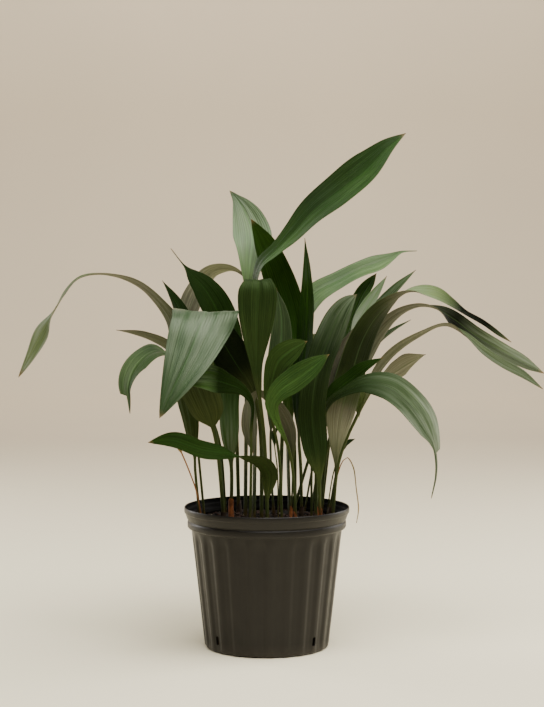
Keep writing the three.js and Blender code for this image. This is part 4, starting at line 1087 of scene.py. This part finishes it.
class LeafSection:
    """How wide, thick and round a leaf is at each distance along its line."""

    def __init__(self, leaf, line, settings, seed):
        self.leaf, self.line, self.settings = leaf, line, settings
        chance = random.Random(seed)
        self.phase = [chance.uniform(0, 6.3) for _ in range(4)]
        self.stalk = stalk_radius(leaf)

    def halves(self, u, distance):
        """The half widths to the left and right of the middle line."""
        leaf = self.leaf
        neck = blend(self.stalk, TIP_HALF_WIDTH, min(u * 2, 1))
        if "widths" in leaf:
            knots = self.line.knots[leaf["blade"] + 1:]
            full = smooth_run(knots, leaf["widths"], distance)
        else:
            full = leaf["wide"] * blade_shape(u, leaf["widest"])
        half = max(neck, full / 2)
        left = right = half
        tear = leaf.get("tear")
        if tear and u > tear["from"]:
            if u < tear["to"]:
                narrow = blend(half, tear["keep"], (u - tear["from"]) / (tear["to"] - tear["from"]))
                left, right = (narrow, half) if tear["side"] < 0 else (half, narrow)
            else:
                left = right = blend(tear["keep"], TIP_HALF_WIDTH, (u - tear["to"]) / (1 - tear["to"]))
        tip = min(1, math.sqrt(max(self.line.length - distance, 0) / TIP_ROUNDING))
        return left * tip, right * tip

    def ring(self, distance):
        """One closed ring of places round the leaf, with the across position of each."""
        line = self.line
        place, along, face = line.at(distance)
        side = along.cross(face)
        u = (distance - line.blade_start) / (line.length - line.blade_start)
        if u < 0:
            left = right = self.stalk
            base = 1
            flat = 0
            thick = blend(2, 1.5, ease(1 + (distance - line.blade_start) / COLLAR_LENGTH)) * self.stalk
        else:
            left, right = self.halves(u, distance)
            base = max(0, 1 - u / BASE_SHARE) ** 2
            flat = 1 - base
            thick = blend(self.settings.thickness / MM, 1.5 * self.stalk, base)
        open_share = min(max(left, right) / WAVY_HALF_WIDTH, 1)
        ends = ease((1 - u) / END_SHARE)
        points = []

        def lift(v, under):
            """How far the upper or under face stands off the line at v, from -1 to 1 across."""
            half = left if v < 0 else right
            first, second, third, fourth = self.phase
            wave = self.settings.edge_wave / MM * open_share * (
                math.sin(9 * u + (0 if v < 0 else 2.4))
                + 0.45 * math.sin(21 * u + (first if v < 0 else second)))
            rise = (self.leaf["cup"] * half + wave) * v * v * flat
            pleat = self.settings.pleat_depth / MM * open_share * flat * ends * (1 - v ** 4) * (
                math.cos(3.2 * math.pi * v + third) + 0.6 * math.sin(6.1 * math.pi * v + fourth))
            round_edge = blend(math.sqrt(max(1 - v * v, 0)), math.sqrt(max(1 - v ** 8, 0)), flat)
            body = thick / 2 * round_edge
            middle = max(0, 1 - abs(v) / MIDRIB_SHARE)
            if under:
                return rise + pleat - body - KEEL * (1 - u) * flat * middle
            groove = blend(STALK_GROOVE * self.stalk * (1 - v * v) ** 2,
                           MIDRIB_GROOVE * middle ** 2 * ends, flat)
            return rise + pleat + body - groove

        across = [-v for v in reversed(ACROSS_HALF)] + [0] + list(ACROSS_HALF)
        loop = [(v, False) for v in across] + [(v, True) for v in reversed(across[1:-1])]
        loop.append((across[0], False))
        for v, under in loop:
            half = left if v < 0 else right
            points.append(place + side * (half * v) + face * lift(v, under))
        return points, loop, u


def leaf_stations(line):
    """The distances along the line at which the leaf has a ring."""
    stalk = max(3, round(line.blade_start / STALK_STEP))
    stations = [line.blade_start * i / stalk for i in range(stalk)]
    blade = line.length - line.blade_start
    steps = max(8, round(blade / BLADE_STEP))
    stations += [line.blade_start + blade * i / steps for i in range(steps)]
    return stations + [line.length - short for short in LAST_STATIONS]


def write_attribute(mesh, name, values):
    attribute = mesh.attributes.new(name, "FLOAT", "POINT")
    attribute.data.foreach_set("value", values)


def run_through(values, share):
    """The value at a share of the way along evenly spaced values."""
    place = min(max(share, 0), 1) * (len(values) - 1)
    i = min(int(place), len(values) - 2)
    return blend(values[i], values[i + 1], place - i)


def make_leaf(name, leaf, settings, materials, seed):
    """One leaf: a grid whose points are moved to the leaf's rings, marked for its finish and closed."""
    line = LeafLine(leaf)
    section = LeafSection(leaf, line, settings, seed)
    stations = leaf_stations(line)
    rings = [section.ring(distance) for distance in stations]
    columns = len(rings[0][0])
    deselect_all()
    bpy.ops.mesh.primitive_grid_add(x_subdivisions=columns - 1, y_subdivisions=len(rings) - 1)
    obj = named(name.replace("leaf", "blade"))
    mesh = obj.data
    if len(mesh.vertices) != columns * len(rings):
        raise RuntimeError("the grid's points don't match the leaf's rings")

    chance = random.Random(seed + 500)
    tint = chance.uniform(0, 1)
    rust_reach, orange = SHEATHS.get(name, BARE_FOOT)
    rust_depth = blend(0.35, 1, orange)
    first_half, second_half = LEAF_HALVES_PAINTED_LIGHT.get(name, (1, 1))
    uppers, unders, bloom = LEAF_TONE_AND_PAINTED_LIGHT.get(name, ((1, 1), (1, 1), (0, 0)))
    places = []
    marks = {mark: [] for mark in LEAF_MARKS}
    uvs = []
    for i, (points, loop, u) in enumerate(rings):
        middle = sum(points[:-1], Vector()) / (columns - 1)
        closing = i in (0, len(rings) - 1)
        for point, (v, under) in zip(points, loop):
            places.extend((middle if closing else point) * MM)
            edge = abs(v) == 1
            marks["underside"].append(0.5 if edge else float(under))
            marks["blade"].append(ease((u + 0.05) / 0.2))
            marks["tip"].append(ease((u - 0.965) / 0.035) + 0.25 * edge * ease((u - 0.8) / 0.2))
            above = stations[i] - (SOIL_LEVEL - ROOT_HEIGHT)
            fade = ease((above - 0.4 * rust_reach) / (0.8 * rust_reach + 8))
            marks["rust"].append(rust_depth * (1 - fade))
            marks["tint"].append(tint)
            # Painted light and shade on a folded leaf: one half is painted lighter than the other.
            half = blend(first_half, second_half, ease(0.5 + 3 * v))
            # Each leaf's tone, raised or lowered along the blade partly for its own colour and partly as
            # painted light and shade.
            marks["upper_value"].append(half * run_through(uppers, u))
            marks["under_value"].append(run_through(unders, u))
            # Painted sheen along the blade, mostly on the lighter half of a folded leaf.
            marks["bloom"].append((half / max(first_half, second_half)) ** 3 * run_through(bloom, u))
            uvs.append((v * leaf["wide"] / 2 * MM, stations[i] * MM + seed * STREAKS_APART))
    mesh.vertices.foreach_set("co", places)
    for mark, values in marks.items():
        write_attribute(mesh, mark, values)
    skin = mesh.uv_layers.active or mesh.uv_layers.new()
    skin.name = "Skin"
    for loop_corner in mesh.loops:
        skin.data[loop_corner.index].uv = uvs[loop_corner.vertex_index]
    mesh.update()

    def close():
        bpy.ops.mesh.select_all(action="SELECT")
        bpy.ops.mesh.remove_doubles(threshold=0.002 * MM)
        bpy.ops.mesh.normals_make_consistent(inside=False)

    edit(close)
    smooth(obj, 80)
    dress(obj, name, materials[0])
    obj.data.materials.append(materials[1])
    underside = obj.data.attributes["underside"].data
    for face in obj.data.polygons:
        below = sum(underside[i].value for i in face.vertices)
        face.material_index = int(below > 0.5 * len(face.vertices))


def make_sheath(name, height, orange, seed):
    """A papery sheath open on one side, round the foot of a stalk."""
    leaf = LEAVES[name]
    line = LeafLine(leaf)
    stalk = stalk_radius(leaf)
    chance = random.Random(seed)
    opening = chance.uniform(0, 6.3)
    deselect_all()
    bpy.ops.mesh.primitive_cylinder_add(vertices=16, radius=1, depth=2, end_fill_type="NOTHING")
    obj = named(name.replace("leaf", "sheath"))

    def shape():
        choose("EDGE", lambda edge: abs(edge.verts[0].co.z - edge.verts[1].co.z) > 0.1)
        bpy.ops.mesh.subdivide(number_cuts=6)

    edit(shape)
    start = SOIL_LEVEL - ROOT_HEIGHT - 3
    for vertex in obj.data.vertices:
        share = (vertex.co.z + 1) / 2
        angle = math.atan2(vertex.co.y, vertex.co.x)
        reach = 1 - 0.5 * (0.5 + 0.5 * math.cos(angle - opening)) ** 2
        place, along, face = line.at(start + (height + 3) * share * reach)
        side = along.cross(face)
        swell = stalk * (1.45 - 0.25 * share + 0.18 * math.sin(3 * angle + 4 * share)) + 0.25
        vertex.co = (place + (side * math.cos(angle) + face * math.sin(angle)) * swell) * MM
    finish_with(obj, "SOLIDIFY", thickness=0.35 * MM, offset=-1)
    smooth(obj, 50)
    return obj


# Stage

def make_backdrop(stage):
    deselect_all()
    bpy.ops.mesh.primitive_plane_add(size=1)
    obj = named("backdrop")

    def shape():
        bpy.ops.transform.resize(value=FLOOR_SIZE, center_override=(0, 0, 0))
        choose("EDGE", lambda edge: all(v.co.y > 2 for v in edge.verts))
        bpy.ops.mesh.extrude_region_move(TRANSFORM_OT_translate={"value": (0, 0, WALL_HEIGHT)})
        choose("EDGE", lambda edge: all(v.co.y > 2 and v.co.z < 1 for v in edge.verts))
        bpy.ops.mesh.bevel(offset=SWEEP_SIZE, segments=SWEEP_STEPS, affect="EDGES")

    edit(shape)
    smooth(obj, 40)
    obj.data.materials.append(backdrop_finish(stage))


def soft_light(name, place, aim, size, power):
    deselect_all()
    bpy.ops.object.light_add(type="AREA", location=place)
    light = bpy.context.object
    light.name = name
    light.data.shape = "RECTANGLE"
    light.data.size, light.data.size_y = size
    light.data.energy = power
    light.data.color = WARM_LIGHT
    light.rotation_euler = (Vector(aim) - Vector(place)).to_track_quat("-Z", "Y").to_euler()


def make_camera(stage):
    deselect_all()
    bpy.ops.object.camera_add(location=EYE * MM, rotation=(math.radians(90 - stage.pitch), 0, 0))
    camera = bpy.context.object
    camera.name = "front_camera"
    camera.data.sensor_fit = "HORIZONTAL"
    camera.data.sensor_width = SENSOR_WIDTH
    camera.data.lens = stage.lens
    bpy.context.scene.camera = camera


# Settings

def length(name, description, default):
    return bpy.props.FloatProperty(name=name, description=description, default=default, min=0, unit="LENGTH")


def colour(name, description, default):
    return bpy.props.FloatVectorProperty(name=name, description=description, default=default,
                                         subtype="COLOR", size=3, min=0, max=1)


def light_power(name, description, default):
    return bpy.props.FloatProperty(name=name, description=description, default=default, min=0, unit="POWER")


def whole_number(name, description, default, low):
    return bpy.props.IntProperty(name=name, description=description, default=default, min=low)


class PlantStage(bpy.types.PropertyGroup):
    colour: colour("Backdrop", "Colour of the floor and backdrop", (0.775, 0.662, 0.488))
    top_power: light_power("Top light", "Power of the light overhead", 139)
    side_power: light_power("Side lights", "Power of each light at the sides", 35)
    wall_power: light_power("Wall light", "Power of the light on the backdrop", 185)
    lens: bpy.props.FloatProperty(name="Lens", description="Focal length of the camera, in millimetres",
                                  default=112.4, min=1)
    pitch: bpy.props.FloatProperty(name="Pitch", description="How far the camera looks down, in degrees",
                                   default=2.82)


class PlantPot(bpy.types.PropertyGroup):
    height: length("Height", "From the foot to the rim", POT_HIGH.z - POT_LOW.z)
    rim_radius: length("Rim radius", "Outer radius of the lip", POT_HIGH.x)
    wall: length("Wall", "Thickness of the moulded wall", 1.8 * MM)
    flutes: whole_number("Flutes", "Number of flutes round the wall", 24, 3)
    flute_depth: length("Flute depth", "How deep the flutes are pressed in", 2.2 * MM)
    roughness: bpy.props.FloatProperty(name="Roughness", description="Roughness of the plastic",
                                       default=0.4, min=0.05, max=0.9, subtype="FACTOR")
    colour: colour("Colour", "Colour of the plastic", (0.0098, 0.0088, 0.0075))


class PlantSoil(bpy.types.PropertyGroup):
    chips: whole_number("Chips", "Number of chips of each kind", 330, 1)
    colour: colour("Soil", "Colour of the potting mix", (0.006, 0.004, 0.003))
    bark_colour: colour("Bark", "Colour of the bark chips", (0.030, 0.012, 0.006))


class PlantLeaves(bpy.types.PropertyGroup):
    thickness: length("Thickness", "Thickness of the open blade", 0.9 * MM)
    pleat_depth: length("Pleats", "Depth of the lengthwise pleats", 0.42 * MM)
    edge_wave: length("Edge wave", "How far the blade's edges wave", 1.6 * MM)
    dark: colour("Dark", "Upper face of the dark leaves", (0.0105, 0.030, 0.0045))
    mid: colour("Middle", "Upper face of the middle green leaves", (0.018, 0.038, 0.0105))
    # The bright leaves' lighter yellow-green is partly their own colour and partly painted light for the
    # light shining through them from behind.
    bright: colour("Bright", "Upper face of the bright green leaves", (0.029, 0.070, 0.017))
    sheen: colour("Satin", "Upper face of the satin leaves", (0.015, 0.050, 0.009))
    # Painted sheen: the pale leaves' upper face is a far lighter green than the others, standing in for the
    # light these leaves reflect.
    pale: colour("Pale", "Upper face of the pale leaves", (0.080, 0.165, 0.060))
    olive: colour("Olive", "Upper face of the olive leaves", (0.042, 0.070, 0.026))
    dry: colour("Dry", "Dry shoots and strips", (0.26, 0.20, 0.085))
    underside: colour("Underside", "Under face of the olive and pale leaves", (0.26, 0.26, 0.18))
    green_underside: colour("Green underside", "Under face of the green leaves", (0.040, 0.060, 0.018))


# Operators

class PLANT_OT_stage(bpy.types.Operator):
    """Add the floor, the backdrop, the soft lights and the camera"""
    bl_idname = "plant.build_stage"
    bl_label = "Stage"

    def execute(self, context):
        stage = context.scene.plant_stage
        make_camera(stage)
        make_backdrop(stage)
        for name, (place, aim, size, power) in LIGHTS.items():
            soft_light(name, place, aim, size, getattr(stage, power))
        world = bpy.data.worlds.new("studio")
        world.use_nodes = True
        room = world.node_tree.nodes["Background"].inputs
        room["Color"].default_value = ROOM_LIGHT
        room["Strength"].default_value = ROOM_STRENGTH
        context.scene.world = world
        return {"FINISHED"}


class PLANT_OT_pot(bpy.types.Operator):
    """Mould the fluted pot with its lip, ledge and drain slots"""
    bl_idname = "plant.build_pot"
    bl_label = "Pot"

    def execute(self, context):
        make_pot(context.scene.plant_pot)
        return {"FINISHED"}


class PLANT_OT_soil(bpy.types.Operator):
    """Fill the pot with potting mix, bark chips and pale grains"""
    bl_idname = "plant.build_soil"
    bl_label = "Soil"

    def execute(self, context):
        soil = context.scene.plant_soil
        make_soil_body(soil)
        make_soil_bits(soil)
        return {"FINISHED"}


class PLANT_OT_leaves(bpy.types.Operator):
    """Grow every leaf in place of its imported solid, and the sheaths at the stalks' feet"""
    bl_idname = "plant.build_leaves"
    bl_label = "Leaves"

    def execute(self, context):
        leaves = context.scene.plant_leaves
        under = leaves.underside
        green_under = leaves.green_underside
        looks = {
            "dark": (leaves.dark, green_under, 0.48, 0.04, (0.6, 1, 0.35, 1)),
            "mid": (leaves.mid, green_under, 0.46, 0.14, (0.65, 1, 0.4, 1)),
            "bright": (leaves.bright, green_under, 0.48, 0.16, (0.65, 1, 0.35, 1)),
            "sheen": (leaves.sheen, green_under, 0.38, 0.42, (0.85, 1, 0.75, 1)),
            "pale": (leaves.pale, shade(under, 0.7), 0.42, 0.4, (0.95, 1, 0.9, 1)),
            "olive": (leaves.olive, under, 0.46, 0.07, (0.9, 1, 0.7, 1)),
            "dry": (leaves.dry, leaves.dry, 0.7, 0.3, (1, 1, 1, 1)),
        }
        finishes = {}
        for tone, (upper, back, roughness, gloss, tint) in looks.items():
            finishes[tone] = (leaf_finish(tone, upper, back, roughness, gloss, tint),
                              leaf_finish(tone + "_under", upper, back, roughness + 0.14, 0.07, tint))
        for seed, (name, leaf) in enumerate(LEAVES.items()):
            make_leaf(name, leaf, leaves, finishes[FINISHED_AS.get(name, leaf["tone"])], seed)
        papers = [bark_finish("sheath_brown", (0.040, 0.024, 0.013), 0.4),
                  bark_finish("sheath_orange", (0.26, 0.085, 0.024), 0.45)]
        for seed, (name, (height, orange)) in enumerate(SHEATHS.items()):
            obj = make_sheath(name, height, orange, seed)
            dress(obj, None, papers[orange > 0.55])
        return {"FINISHED"}


class PLANT_PT_panel(bpy.types.Panel):
    """The plant's sizes, colours and buttons"""
    bl_label = "Cast iron plant"
    bl_idname = "PLANT_PT_panel"
    bl_space_type = "VIEW_3D"
    bl_region_type = "UI"
    bl_category = "Plant"

    def draw(self, context):
        for name in SETTINGS:
            settings = getattr(context.scene, name)
            box = self.layout.box()
            for key in type(settings).__annotations__:
                box.prop(settings, key)
            box.operator(name.replace("plant_", "plant.build_"))


CLASSES = (PlantStage, PlantPot, PlantSoil, PlantLeaves,
           PLANT_OT_stage, PLANT_OT_pot, PLANT_OT_soil, PLANT_OT_leaves, PLANT_PT_panel)
SETTINGS = {"plant_stage": PlantStage, "plant_pot": PlantPot,
            "plant_soil": PlantSoil, "plant_leaves": PlantLeaves}


def register():
    for cls in CLASSES:
        bpy.utils.register_class(cls)
    for name, kind in SETTINGS.items():
        setattr(bpy.types.Scene, name, bpy.props.PointerProperty(type=kind))


def unregister():
    for name in SETTINGS:
        delattr(bpy.types.Scene, name)
    for cls in reversed(CLASSES):
        bpy.utils.unregister_class(cls)


def main():
    register()
    bpy.ops.plant.build_stage()
    bpy.ops.plant.build_pot()
    bpy.ops.plant.build_soil()
    bpy.ops.plant.build_leaves()
    bpy.context.view_layer.update()


if __name__ == "__main__":
    main()
